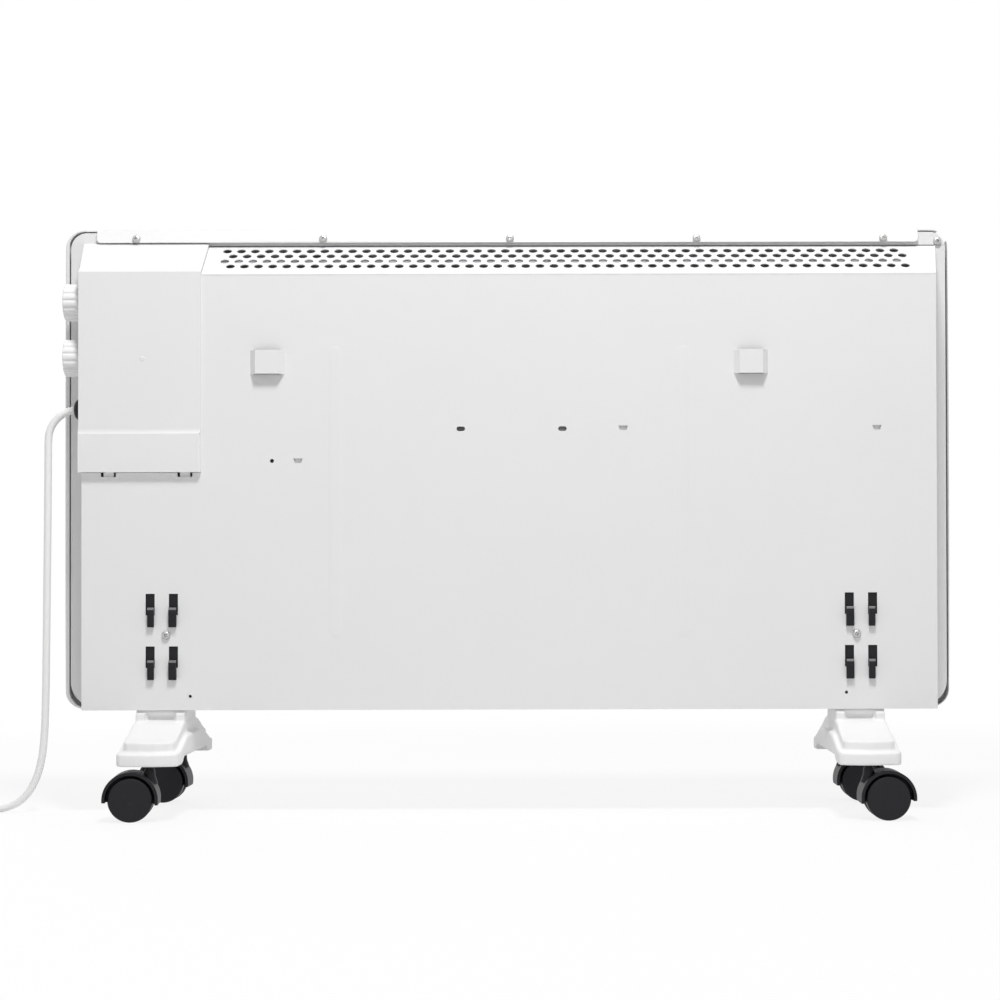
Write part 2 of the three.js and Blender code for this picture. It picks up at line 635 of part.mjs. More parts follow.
// pan head with a short shank, on the Y axis, seated on y = 0
function panScrew(headD, height, shank) {
  const r = headD / 2;
  return revolved([
    [0, -shank], [SHANK_D / 2, -shank], [SHANK_D / 2, 0], [r, 0],
    [r, height * 0.35], [r * 0.7, height], [0, height],
  ], 10, 'y');
}

// ---- control box cover ------------------------------------------------------
function coverProfile(inset) {
  const y = REAR_Y + BOX_PROUD - inset;
  const lift = BOX_LIFT - inset;
  const ridge = slopeZ(y, lift);
  const top = FLANGE_Y + GAP;
  return [
    [top, slopeZ(top, lift)],
    [y, ridge],
    [y, LEDGE_TOP - inset * 0.4],
    [y + BOX_STEP, LEDGE_BOTTOM - inset * 0.4],
    [y + BOX_STEP, BOX_BOTTOM + inset],
  ];
}

function controlBoxCover() {
  const outer = coverProfile(0);
  const inner = coverProfile(BOX_SHEET).reverse();
  const lipY = REAR_Y + GAP;
  const skinShape = polygon([
    ...outer, [lipY, BOX_BOTTOM], [lipY, BOX_BOTTOM + BOX_SHEET], ...inner,
  ]);
  const skin = barYZ(skinShape, BOX_X0, caseX(FLANGE_Y, 1) + 1);
  const backY = REAR_Y - 8;
  const web = polygon([
    ...outer, [backY, BOX_BOTTOM], [backY, slopeZ(backY) - 12], [FLANGE_Y + GAP, slopeZ(FLANGE_Y) - 12],
  ]);
  const innerWeb = barYZ(web, BOX_X0, BOX_X0 + BOX_SHEET);
  const rimY = REAR_Y - 4;
  const endShape = polygon([
    [rimY, BOX_BOTTOM], ...coverProfile(0).slice(1).reverse(), [rimY, slopeZ(rimY, BOX_LIFT)],
  ]);
  const end = barYZ(endShape, BOX_X1 - BOX_SHEET, BOX_X1).intersect(
    block(0, PANEL_W, rimY, 100, BOX_BOTTOM, slopeZ(rimY, BOX_LIFT) - 1),
  );
  let body = joined([skin, innerWeb, end]);
  const trimmed = polygon([
    [caseX(FLANGE_Y, 1) + 0.4, FLANGE_Y - 1], [BOX_X1, REAR_Y - 4],
    [BOX_X1, 100], [PANEL_W, 100], [PANEL_W, FLANGE_Y - 1],
  ]);
  body = body.subtract(slabXY(trimmed, 0, 700));
  body = body.subtract(block(0, PANEL_W, FLANGE_Y - 1, REAR_Y, RAIL_LOW - GAP, 700));
  const bevel = polygon([
    [BOX_X0 - 5, REAR_Y + BOX_PROUD + BOX_STEP + 5], [BOX_X0 + BOX_EDGE, REAR_Y + BOX_PROUD + BOX_STEP + 5],
    [BOX_X0 + BOX_EDGE, REAR_Y + BOX_PROUD + BOX_STEP], [BOX_X0, REAR_Y + BOX_PROUD + BOX_STEP - BOX_EDGE],
    [BOX_X0 - 5, REAR_Y + BOX_PROUD + BOX_STEP - BOX_EDGE],
  ]);
  body = body.subtract(slabXY(bevel, 0, LEDGE_BOTTOM + 1));
  for (const z of [THERMOSTAT_Z, SELECTOR_Z]) {
    const room = circle(KNOB_Y, z, KNOB_D / 2 + COVER_ROOM, 24);
    body = body.subtract(barYZ(room, KNOB_BASE, KNOB_TIP));
  }
  const pip = revolved([[0, -0.5], [2.3, -0.5], [2.3, 0.2], [1.6, 0.5], [0, 0.5]], 10, 'y');
  body = body.add(pip.translate([BOX_X0 + 53.1, REAR_Y + BOX_PROUD, RIDGE - 77.6]));
  for (const x of TAB_X) {
    const h = TAB_W / 2;
    const y = REAR_Y - SHEET - 1.6;
    body = body.add(block(x - h, x + h, y, REAR_Y - SHEET - GAP, BOX_BOTTOM - 9, BOX_BOTTOM + 1));
    body = body.add(block(x - h, x + h, y, REAR_Y + GAP + 0.6, BOX_BOTTOM, BOX_BOTTOM + 1.2));
  }
  return body;
}

// ---- knobs, shafts and what they turn --------------------------------------
function knob() {
  const points = [];
  const r = KNOB_D / 2;
  const step = (2 * Math.PI) / KNOB_FLUTES;
  for (let i = 0; i < KNOB_FLUTES; i += 1) {
    const a = i * step;
    points.push([(r - 1) * Math.cos(a), (r - 1) * Math.sin(a)]);
    points.push([r * Math.cos(a + step * 0.14), r * Math.sin(a + step * 0.14)]);
    points.push([r * Math.cos(a + step * 0.86), r * Math.sin(a + step * 0.86)]);
  }
  const dome = 2.6;
  const grip = barYZ(polygon(points), dome, KNOB_TIP - KNOB_BASE - dome, {
    bevelEnabled: true, bevelThickness: dome, bevelSize: 2.2, bevelOffset: -2.2,
    bevelSegments: 1,
  });
  const bore = rod(SHAFT_D / 2 + GAP, -1, 17, 12, 'x');
  const length = KNOB_TIP - KNOB_BASE;
  const mark = block(length - 0.6, length + 1, -0.8, 0.8, 4, 13);
  return grip.subtract(bore).subtract(mark);
}

function controlBody(w, h, depth) {
  const edge = 2;
  const face = new THREE.Shape([
    V2(-w / 2 + edge, -h / 2), V2(w / 2 - edge, -h / 2), V2(w / 2, -h / 2 + edge),
    V2(w / 2, h / 2 - edge), V2(w / 2 - edge, h / 2), V2(-w / 2 + edge, h / 2),
    V2(-w / 2, h / 2 - edge), V2(-w / 2, -h / 2 + edge),
  ]);
  const housing = barYZ(face, -depth, 0);
  const neck = rod(5.5, -1, 1.2, 16, 'x');
  const bore = rod(SHAFT_D / 2 + GAP, -12, 5, 12, 'x');
  return housing.add(neck).subtract(bore);
}

const BRACKET_X = KNOB_BASE - 4;
const BRACKET_Z0 = SELECTOR_Z - KNOB_D / 2 - 6.85;
const BRACKET_Z1 = THERMOSTAT_Z + KNOB_D / 2 + 10.65;
function controlBracket() {
  const t = FRAME_SHEET;
  const reach = caseX(26, 1) - FRAME_SHEET - GAP - 0.3;
  const fold = polygon([
    [BRACKET_X, BRACKET_Z0], [reach, BRACKET_Z0], [reach, BRACKET_Z0 + t],
    [BRACKET_X + t, BRACKET_Z0 + t], [BRACKET_X + t, BRACKET_Z1 - t],
    [reach, BRACKET_Z1 - t], [reach, BRACKET_Z1], [BRACKET_X, BRACKET_Z1],
  ]);
  let body = plateXZ(fold, KNOB_Y - 17, KNOB_Y + 14);
  const above = polygon([
    [-60, slopeZ(-60, -2)], [60, slopeZ(60, -2)], [60, 700], [-60, 700],
  ]);
  body = body.subtract(barYZ(above, 0, PANEL_W));
  for (const z of [THERMOSTAT_Z, SELECTOR_Z]) {
    body = body.subtract(barYZ(circle(KNOB_Y, z, 5.5 + GAP, 16), BRACKET_X - 1, BRACKET_X + 3));
  }
  return body;
}

function gland() {
  const r = GLAND_D / 2;
  const bore = CORD_D / 2 + GAP;
  const seat = caseX(KNOB_Y - r, 1) + GAP;
  const neck = CORD_D / 2 + GLAND_WALL - GAP;
  const inside = caseX(KNOB_Y + r, 1) - FRAME_SHEET - GAP;
  return revolved([
    [bore, inside - 6], [neck + 2.2, inside - 6], [neck + 2.2, inside - 2.6], [neck, inside - 2.6],
    [neck, seat], [r, seat], [r, seat + 1.6], [r * 0.86, seat + 3.8],
    [r * 0.6, seat + 5.6], [bore + 0.5, seat + 5.6], [bore, seat + 3], [bore, inside - 6],
  ], 16, 'x');
}

// ---- inner pieces -----------------------------------------------------------
const TONGUE_W = 36;
const TONGUE_T = 4;
const TONGUE_Y0 = REAR_Y - 10.5;
const TONGUE_Y1 = TONGUE_Y0 + TONGUE_T;
const ELEMENT_Z = PANEL_Z + 73;
const ELEMENT_HALF = CASE_HALF_REAR - 110.5;

function heatingElement() {
  const fins = 5;
  const pitch = 5;
  const t = 1.6;
  const reach = 31;
  const core = 6;
  const half = ((fins - 1) * pitch + t) / 2;
  const upper = [];
  const lower = [];
  for (let i = 0; i < fins; i += 1) {
    const y0 = -half + i * pitch;
    const tip = reach - Math.abs(i - (fins - 1) / 2) * 4;
    upper.push([y0, core], [y0, tip], [y0 + t, tip], [y0 + t, core]);
    lower.push([y0, -core], [y0, -tip], [y0 + t, -tip], [y0 + t, -core]);
  }
  const comb = polygon([...lower, ...upper.reverse()]);
  const bar = barYZ(comb, -ELEMENT_HALF, ELEMENT_HALF);
  return bar.add(rod(4, -ELEMENT_HALF - 12, ELEMENT_HALF + 12, 12, 'x'));
}

function elementBracket(side) {
  const x = side * (ELEMENT_HALF + 6);
  const t = 1.5;
  const z = CASE_FLOOR + GAP;
  const out = (reach) => [x, x + side * reach].sort((a, b) => a - b);
  const wall = block(...out(t), -14, 14, z, ELEMENT_Z + 14);
  const toe = block(...out(14), -14, 14, z, z + t);
  const hole = barYZ(circle(0, ELEMENT_Z, 4 + GAP, 12), x - 20, x + 20);
  return wall.add(toe).subtract(hole);
}

function reflector() {
  const y = 16;
  const fold = polygon([
    [y, CASE_FLOOR + GAP], [y + 1, CASE_FLOOR + GAP], [y + 1, RIDGE - 38], [y + 5, RIDGE - 23],
    [y + 4, RIDGE - 22.4], [y, RIDGE - 37.8],
  ]);
  return barYZ(fold, -ELEMENT_HALF - 20, PARTITION_X - 10);
}

// flow divider whose upper flange lies close under the third hole row
function deflector() {
  const on = (v, w) => [
    FLANGE_Y + v * Math.cos(SLOPE) + w * Math.sin(SLOPE),
    SLOPE_TOP - v * Math.sin(SLOPE) + w * Math.cos(SLOPE),
  ];
  const row = ROW_FIRST + 2 * ROW_STEP;
  const reach = HOLE_D / 2 + 1;
  const w = -SHEET - GAP - 0.2;
  const start = on(row - reach, w);
  const fold = on(row - reach + 1.3, w - 1);
  const flange = polygon([
    start, on(row + reach, w), on(row + reach, w - 1), fold,
    [fold[0], fold[1] - 45], [fold[0] - 1, fold[1] - 45], [fold[0] - 1, start[1] - 0.3],
  ]);
  return barYZ(flange, caseX(start[0] + 12, -1) + FRAME_SHEET + 0.6, PARTITION_X - 0.4);
}

const PARTITION_X = BOX_X0 - 6.5;
const PARTITION_Z = BOX_BOTTOM - 13.7;
function partition() {
  const t = 1.2;
  const back = REAR_Y - SHEET - GAP - 2;
  const side = polygon([
    [FLANGE_Y, PARTITION_Z], [back, PARTITION_Z],
    [back, slopeZ(back, -SHEET - GAP)], [FLANGE_Y, slopeZ(FLANGE_Y, -SHEET - GAP)],
  ]);
  const wall = barYZ(side, PARTITION_X, PARTITION_X + t);
  const reach = (y) => caseX(y, 1) - FRAME_SHEET - GAP;
  const plan = polygon([
    [PARTITION_X, FLANGE_Y], [reach(FLANGE_Y), FLANGE_Y], [reach(back), back], [PARTITION_X, back],
  ]);
  return wall.add(slabXY(plan, PARTITION_Z, PARTITION_Z + t));
}

function terminalBlock() {
  const z = PARTITION_Z + 1.2 + GAP;
  const fold = polygon([
    [-10, z], [12, z], [12, z + 9], [8, z + 9], [8, z + 16], [-6, z + 16], [-6, z + 9], [-10, z + 9],
  ]);
  const x0 = PARTITION_X + 50;
  let body = barYZ(fold, x0, x0 + 38);
  for (const x of [x0 + 8, x0 + 19, x0 + 30]) {
    body = body.subtract(slabXY(circle(x, 1, 2.4, 8), z + 10, z + 20));
  }
  return body;
}

function thermalCutout() {
  const y = 16 - GAP;
  return revolved([[0, y], [7, y], [7, y - 6], [9, y - 6], [9, y - 7.5], [0, y - 7.5]], 14, 'y');
}

// ---- foot clips ---------------------------------------------------------------
function footClip(side) {
  const centre = CLIP_SHIFT + side * FOOT_X;
  const y0 = TONGUE_Y1 + 0.5;
  const y1 = REAR_Y - SHEET - 0.4;
  const plate = plateXZ(
    new THREE.Shape([
      V2(centre - 20, CLIP_LOWER - 16), V2(centre + 20, CLIP_LOWER - 16),
      V2(centre + 20, CLIP_UPPER + 22), V2(centre + 16, CLIP_UPPER + 26),
      V2(centre - 16, CLIP_UPPER + 26), V2(centre - 20, CLIP_UPPER + 22),
    ]), y0, y1,
  );
  const parts = [plate];
  for (const column of clipColumns(side)) {
    const outer = Math.abs(column) > Math.abs(centre);
    const x = column + side * (outer ? -0.9 : 0.4);
    const w = outer ? HOOK_OUTER_W / 2 : HOOK_INNER_W / 2;
    for (const z of [CLIP_UPPER, CLIP_LOWER]) {
      const z1 = z + HOOK_SHOULDER;
      const out = REAR_Y + 4.6;
      const arm = polygon([
        [y1 - 0.5, z + 0.6], [REAR_Y + 0.5, z + 0.6], [out, z + 0.6],
        [out, z1 - 0.5], [out - 0.5, z1], [y1 - 0.5, z1],
      ]);
      parts.push(barYZ(arm, x - w, x + w));
      const tip = polygon([
        [REAR_Y + 0.5, z + 1.2], [REAR_Y + 0.5, z - HOOK_DROP + 1.6],
        [REAR_Y + 1.6, z - HOOK_DROP], [out - 1.2, z - HOOK_DROP],
        [out - 0.2, z - HOOK_DROP + 2], [out - 0.2, z + 1.2],
      ]);
      parts.push(barYZ(tip, x - w, x + w));
    }
  }
  const hole = plateXZ(circle(clipScrewX(side), CLIP_SCREW_Z, SHANK_D / 2 + GAP, 8), y0 - 1, y1 + 1);
  return joined(parts).subtract(hole);
}

// ---- feet ------------------------------------------------------------------------
// side line of a tier: flat end face, then an S-curve up to the column
function tier(half, low, end, high, columnHalf) {
  const s = new THREE.Shape();
  const arch = half - 42;
  s.moveTo(-half, low);
  s.lineTo(-half + 22, low);
  s.quadraticCurveTo(-half + 32, low, -half + 36, low + FOOT_ARCH * 0.6);
  s.quadraticCurveTo(-half + 39, low + FOOT_ARCH, -arch, low + FOOT_ARCH);
  s.lineTo(arch, low + FOOT_ARCH);
  s.quadraticCurveTo(half - 39, low + FOOT_ARCH, half - 36, low + FOOT_ARCH * 0.6);
  s.quadraticCurveTo(half - 32, low, half - 22, low);
  s.lineTo(half, low);
  s.lineTo(half, end);
  const run = half - columnHalf;
  s.bezierCurveTo(half - run * 0.45, end + 1.5, columnHalf + run * 0.38, high, columnHalf, high);
  s.lineTo(-columnHalf, high);
  s.bezierCurveTo(-columnHalf - run * 0.38, high, -half + run * 0.45, end + 1.5, -half, end);
  return new THREE.Shape(s.getPoints(4));
}

// plan of a tier: straight sides, round corners and bowed ends
function tierPlan(half, w, r) {
  const s = new THREE.Shape();
  const flat = half - FOOT_BOW;
  s.moveTo(w, -flat + r);
  s.lineTo(w, flat - r);
  s.quadraticCurveTo(w, flat, w - r, flat);
  s.quadraticCurveTo(0, half + FOOT_BOW, -w + r, flat);
  s.quadraticCurveTo(-w, flat, -w, flat - r);
  s.lineTo(-w, -flat + r);
  s.quadraticCurveTo(-w, -flat, -w + r, -flat);
  s.quadraticCurveTo(0, -half - FOOT_BOW, w - r, -flat);
  s.quadraticCurveTo(w, -flat, w, -flat + r);
  return slabXY(new THREE.Shape(s.getPoints(4)), FOOT_BOTTOM - 5, FOOT_BOTTOM + 60);
}

function foot() {
  const half = FOOT_LENGTH / 2;
  const soft = (size) => ({
    bevelEnabled: true, bevelThickness: size, bevelSize: size, bevelOffset: -size, bevelSegments: 1,
  });
  const e = 1.2;
  const lower = barYZ(
    tier(half, FOOT_BOTTOM, FOOT_BOTTOM + 10.4, FOOT_BOTTOM + 24.9, 32),
    -FOOT_W / 2 + e, FOOT_W / 2 - e, soft(e),
  ).intersect(tierPlan(half, FOOT_W / 2, 10));
  const upperLine = new THREE.Shape();
  const reach = half - 9;
  const z = FOOT_BOTTOM;
  upperLine.moveTo(-reach, z + 7.9);
  upperLine.lineTo(reach, z + 7.9);
  upperLine.lineTo(reach, z + 20.3);
  upperLine.bezierCurveTo(reach - 28, z + 22.4, 50, z + 35.5, 33, z + 35.9);
  upperLine.lineTo(-33, z + 35.9);
  upperLine.bezierCurveTo(-50, z + 35.5, 28 - reach, z + 22.4, -reach, z + 20.3);
  const upper = barYZ(
    new THREE.Shape(upperLine.getPoints(5)), -FOOT_UPPER_W / 2 + e, FOOT_UPPER_W / 2 - e, soft(e),
  ).intersect(tierPlan(reach, FOOT_UPPER_W / 2, 8));
  const w = FOOT_UPPER_W / 2 - 0.5;
  const top = FRAME_BOTTOM - GAP;
  const back = REAR_Y - 2;
  const low = PANEL_Z - 13;
  const column = block(-w, w, PANEL_BACK + GAP + 0.4, back, low, top);
  const frontColumn = block(-w, w, -30, PANEL_BACK + 1, low, PANEL_Z - GAP);
  const lugRoom = block(-12.6, 12.6, back - 3.5, back + 10, PANEL_Z - 7.8, PANEL_Z - 1.6);
  const frontRoom = block(-12.6, 12.6, -40, -26.5, PANEL_Z - 7.8, PANEL_Z - 1.6);
  const tongue = block(-TONGUE_W / 2, TONGUE_W / 2, TONGUE_Y0, TONGUE_Y1, PANEL_Z - 9, CLIP_UPPER + 14);
  let body = joined([lower, upper, column, frontColumn]).subtract(lugRoom).subtract(frontRoom).add(tongue);
  for (const y of [-CASTER_Y, CASTER_Y]) {
    body = body.subtract(rod(STEM_D / 2 + GAP, 40, STEM_TOP + GAP, 12).translate([0, y, 0]));
  }
  return body;
}

// ---- twin-wheel casters: the stem is on the local Z axis, the wheels trail to +X ---
function casterHood() {
  const reach = WEB_T / 2 + WHEEL_T + 0.8;
  const disc = plateXZ(circle(CASTER_TRAIL, AXLE_Z, HOOD_R, 24), -reach, reach);
  const hub = plateXZ(circle(CASTER_TRAIL, AXLE_Z, 7.5, 12), -WEB_T / 2, WEB_T / 2);
  const boss = rod(8, 24, HOOD_TOP, 16);
  const below = block(-60, 80, -40, 40, -10, AXLE_Z - 4.5);
  let body = disc.add(boss).subtract(below).add(hub);
  const room = circle(CASTER_TRAIL, AXLE_Z, HOOD_R - HOOD_T, 24);
  for (const side of [-1, 1]) {
    const y = [side * (WEB_T / 2), side * 40].sort((a, b) => a - b);
    body = body.subtract(plateXZ(room, y[0], y[1]));
    const notch = circle(CASTER_TRAIL - HOOD_R + 1.2, AXLE_Z - 4.5, 2.2, 6);
    body = body.subtract(plateXZ(notch, y[0], y[1]));
    const notchBack = circle(CASTER_TRAIL + HOOD_R - 1.2, AXLE_Z - 4.5, 2.2, 6);
    body = body.subtract(plateXZ(notchBack, y[0], y[1]));
  }
  body = body.add(rod(STEM_D / 2, HOOD_TOP - 6, STEM_TOP, 12));
  const bore = revolved([[0, -30], [AXLE_D / 2 + GAP, -30], [AXLE_D / 2 + GAP, 30], [0, 30]], 12, 'y');
  return body.subtract(bore.translate([CASTER_TRAIL, 0, AXLE_Z]));
}

function wheel(side) {
  const r = WHEEL_D / 2;
  const y0 = WEB_T / 2 + 0.5;
  const y1 = y0 + WHEEL_T - 0.5;
  const bore = AXLE_D / 2 + GAP;
  const profile = [
    [bore, y0], [r, y0], [r, y1 - 1.4], [r - 1.4, y1], [bore, y1 - 0.6], [bore, y0],
  ];
  const points = profile.map(([x, y]) => [x, side * y]);
  return revolved(points, WHEEL_SIDES, 'y', Math.PI / WHEEL_SIDES);
}

function caster(name, x, y, trailAngle) {
  const group = new THREE.Group();
  group.position.set(x, y, 0);
  group.rotation.z = trailAngle;
  piece(`${name}_hood`, casterHood(), 'blackPlastic', group);
  const reach = WEB_T / 2 + WHEEL_T - 1;
  const pin = piece(
    `${name}_axle`,
    revolved([[0, -reach], [AXLE_D / 2, -reach], [AXLE_D / 2, reach], [0, reach]], 12, 'y'),
    'steel', group,
  );
  pin.position.set(CASTER_TRAIL, 0, AXLE_Z);
  for (const [tag, side] of [['wheel_a', 1], ['wheel_b', -1]]) {
    const disc = piece(`${name}_${tag}`, wheel(side), 'blackPlastic', group);
    disc.position.set(CASTER_TRAIL, 0, AXLE_Z);
  }
  heater.add(group);
}

// ---- cord: out of the gland, down to the floor, into a coil and on to the plug --------
const COIL_X = 513;
const COIL_OUT = 45;
const COIL_IN = 31;
const COIL_H = 14;
const FLOOR_Z = CORD_D / 2 + 0.1;
const COIL_Y = KNOB_Y + COIL_OUT - CORD_D / 2;

function tube(points, radius, sides, steps) {
  const curve = new THREE.CatmullRomCurve3(points, false, 'centripetal');
  const section = circle(0, 0, radius, sides, Math.PI / sides);
  return solid(new THREE.ExtrudeGeometry(section, {
    steps, extrudePath: curve, bevelEnabled: false,
  }));
}

function powerCord() {
  const start = caseX(KNOB_Y, 1) - 8;
  const meet = COIL_OUT + CORD_D / 2 - 0.3;
  const end = COIL_X - Math.sqrt(meet ** 2 - (COIL_Y - KNOB_Y) ** 2);
  const line = [
    [start, 370.6], [394, 370.6], [400.2, 370.6], [404.6, 369.4], [410.2, 365.9],
    [414.8, 360.6], [418.2, 353.7], [420.5, 346.5], [421.9, 336], [422.6, 306],
    [423.2, 260], [423.7, 210], [424.3, 150], [425, 100], [426.2, 70],
    [429, 47], [435, 28], [444.6, 13.6], [456, 6], [467, FLOOR_Z],
    [474, FLOOR_Z], [end, FLOOR_Z],
  ];
  return tube(line.map(([x, z]) => V3(x, KNOB_Y, z)), CORD_D / 2, 8, 52);
}

function cordCoil() {
  return revolved([
    [COIL_IN + 1.5, 0.2], [COIL_OUT - 1.5, 0.2], [COIL_OUT, 2], [COIL_OUT, COIL_H - 2.5],
    [COIL_OUT - 2.5, COIL_H], [COIL_IN + 2.5, COIL_H], [COIL_IN, COIL_H - 2.5], [COIL_IN, 2],
    [COIL_IN + 1.5, 0.2],
  ], 32);
}

// the tail leaves the top turn of the coil and rises to the plug's axis
const PLUG_R = 18.5;
const RELIEF = 24;               // the plug's tapered sleeve
const TAIL_AT = (-140 * Math.PI) / 180;
const TAIL_HEADING = (-70 * Math.PI) / 180;
const TAIL_Z = 10.7;
const TAIL_STEPS = 6;
const TAIL_STEP = 8;
function tailLine() {
  const r = COIL_OUT - CORD_D / 2;
  const clear = COIL_OUT + CORD_D / 2 - 0.3;
  const first = TAIL_AT + Math.PI / 2;
  const at = V3(COIL_X + r * Math.cos(TAIL_AT), COIL_Y + r * Math.sin(TAIL_AT), TAIL_Z);
  const line = [];
  const ahead = (angle, distance, z) => {
    at.add(V3(distance * Math.cos(angle), distance * Math.sin(angle), z - at.z));
    line.push(at.clone());
  };
  ahead(first, Math.sqrt(clear ** 2 - r ** 2), TAIL_Z);
  for (let i = 1; i <= TAIL_STEPS; i += 1) {
    const share = i / TAIL_STEPS;
    const rise = share * share * (3 - 2 * share);
    const z = TAIL_Z + (PLUG_R + 0.1 - TAIL_Z) * rise;
    ahead(first + (TAIL_HEADING - first) * share, TAIL_STEP, z);
  }
  ahead(TAIL_HEADING, 4, at.z);
  ahead(TAIL_HEADING, RELIEF / 2, at.z);
  ahead(TAIL_HEADING, RELIEF / 2 - 1, at.z);
  return line;
}

// round two-pin earthed plug, lying on its side with the pins to -Y
function plugBody() {
  const r = PLUG_R;
  const bore = CORD_D / 2 + GAP;
  let body = revolved([
    [0, -46], [r - 1.5, -46], [r, -44.5], [r, -24], [r - 3.5, -13], [8.5, -6], [6.4, -2],
    [bore + 1.4, RELIEF], [bore, RELIEF], [bore, 0], [0, 0],
  ], 18, 'y');
  for (const side of [-1, 1]) {
    body = body.subtract(block(side < 0 ? -r - 1 : r - 2.2, side < 0 ? -r + 2.2 : r + 1, -60, -30, -3, 3));
  }
  return body;
}

// ---- assembly -------------------------------------------------------------------
piece('front_panel', frontPanel(), 'paint', heater);
piece('side_frame_left', sideFrameLeft(), 'paint', heater);
piece('side_frame_right', sideFrameRight(), 'paint', heater);
piece('top_frame', topFrame(), 'paint', heater);
piece('rear_cover', rearCover(), 'paint', heater);

const grille = piece('outlet_grille', outletGrille(), 'paint', heater);
grille.position.set(0, FLANGE_Y, SLOPE_TOP);
grille.rotation.x = -SLOPE;

piece('inlet_grille', inletGrille(), 'paint', heater);
piece('top_rail', topRail(), 'paint', heater);
for (let i = 0; i < 5; i += 1) {
  const screw = piece(`rail_screw_${i + 1}`, panScrew(SCREW_D, 2.4, 1.2), 'whitePlastic', heater);
  const share = (RAIL_TOP - RAIL_SCREW_AT) / (RAIL_TOP - RAIL_LOW);
  const y = FLANGE_Y + GAP + RAIL_T + RAIL_LEAN * share + GAP;
  screw.position.set(CASE_X + (2 - i) * RAIL_SCREW_STEP, y, RAIL_SCREW_AT);
  screw.rotation.x = RAIL_ANGLE;
}
const cornerScrew = piece('corner_screw', panScrew(SCREW_D, 2.4, 1.2), 'whitePlastic', heater);
cornerScrew.position.set(CORNER_SCREW[0], FLANGE_Y + GAP, CORNER_SCREW[1]);

piece('control_box_cover', controlBoxCover(), 'paint', heater);
for (const [name, z] of [['thermostat', THERMOSTAT_Z], ['selector', SELECTOR_Z]]) {
  const dial = new THREE.Group();
  dial.position.set(KNOB_BASE, KNOB_Y, z);
  dial.rotation.x = name === 'selector' ? 0.02 : -0.08;
  piece(`${name}_knob`, knob(), 'whitePlastic', dial);
  piece(`${name}_shaft`, rod(SHAFT_D / 2, BRACKET_X - KNOB_BASE - 10, 15.5, 12, 'x'), 'steel', dial);
  heater.add(dial);
  const size = name === 'selector' ? [30, 34, 30] : [32, 36, 38];
  const body = piece(`${name}_body`, controlBody(...size), 'greyPlastic', heater);
  body.position.set(BRACKET_X - GAP, KNOB_Y, z);
}
piece('control_bracket', controlBracket(), 'zinc', heater);

const glandPiece = piece('cable_gland', gland(), 'blackPlastic', heater);
glandPiece.position.set(0, KNOB_Y, GLAND_Z);

const element = piece('heating_element', heatingElement(), 'aluminium', heater);
element.position.set(0, 0, ELEMENT_Z);
piece('element_bracket_left', elementBracket(1), 'zinc', heater);
piece('element_bracket_right', elementBracket(-1), 'zinc', heater);
piece('reflector', reflector(), 'zinc', heater);
piece('deflector', deflector(), 'paint', heater);
piece('control_partition', partition(), 'zinc', heater);
piece('terminal_block', terminalBlock(), 'greyPlastic', heater);
const cutout = piece('thermal_cutout', thermalCutout(), 'greyPlastic', heater);
cutout.position.set(0, 0, RIDGE - 163);

for (const [tag, side] of [['left', 1], ['right', -1]]) {
  piece(`foot_clip_${tag}`, footClip(side), 'blackPlastic', heater);
  const screw = piece(`clip_screw_${tag}`, panScrew(9.4, 2.6, 4), 'whitePlastic', heater);
  screw.position.set(clipScrewX(side), REAR_Y + GAP, CLIP_SCREW_Z);
  const base = piece(`foot_${tag}`, foot(), 'whitePlastic', heater);
  base.position.set(FOOT_SHIFT + side * FOOT_X, 0, 0);
}

const OUT = Math.PI / 180;
caster('caster_rear_left', FOOT_SHIFT + FOOT_X, CASTER_Y, 5 * OUT);
caster('caster_front_left', FOOT_SHIFT + FOOT_X, -CASTER_Y, 0);
caster('caster_rear_right', FOOT_SHIFT - FOOT_X, CASTER_Y, Math.PI);
caster('caster_front_right', FOOT_SHIFT - FOOT_X, -CASTER_Y, Math.PI);

piece('power_cord', powerCord(), 'cord', heater);
const coil = piece('cord_coil', cordCoil(), 'cord', heater);
coil.position.set(COIL_X, COIL_Y, 0);
const tail = tailLine();
piece('cord_tail', tube(tail, CORD_D / 2, 8, 16), 'cord', heater);
const plug = new THREE.Group();
plug.position.copy(tail[tail.length - 1]);
plug.position.add(V3(Math.cos(TAIL_HEADING), Math.sin(TAIL_HEADING), 0));
plug.rotation.z = TAIL_HEADING + Math.PI / 2;
piece('plug_body', plugBody(), 'cord', plug);
for (const [tag, side] of [['a', -1], ['b', 1]]) {
  const pin = piece(`plug_pin_${tag}`, revolved([
    [0, -19], [1.6, -19], [2.4, -17.6], [2.4, 0], [0, 0],
  ], 12, 'y'), 'nickel', plug);
  pin.position.set(side * 9.5, -46 - GAP, 0);
}
heater.add(plug);

export default heater;
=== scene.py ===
"""Looks of a panel convector heater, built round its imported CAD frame.

Metres throughout: +Z up, +Y out of the heater's rear, +X towards the knobs.
Laid out as an add-on and run as a script: main() makes every piece in order.
"""
import math

import bmesh
import bpy
from mathutils import Matrix, Vector


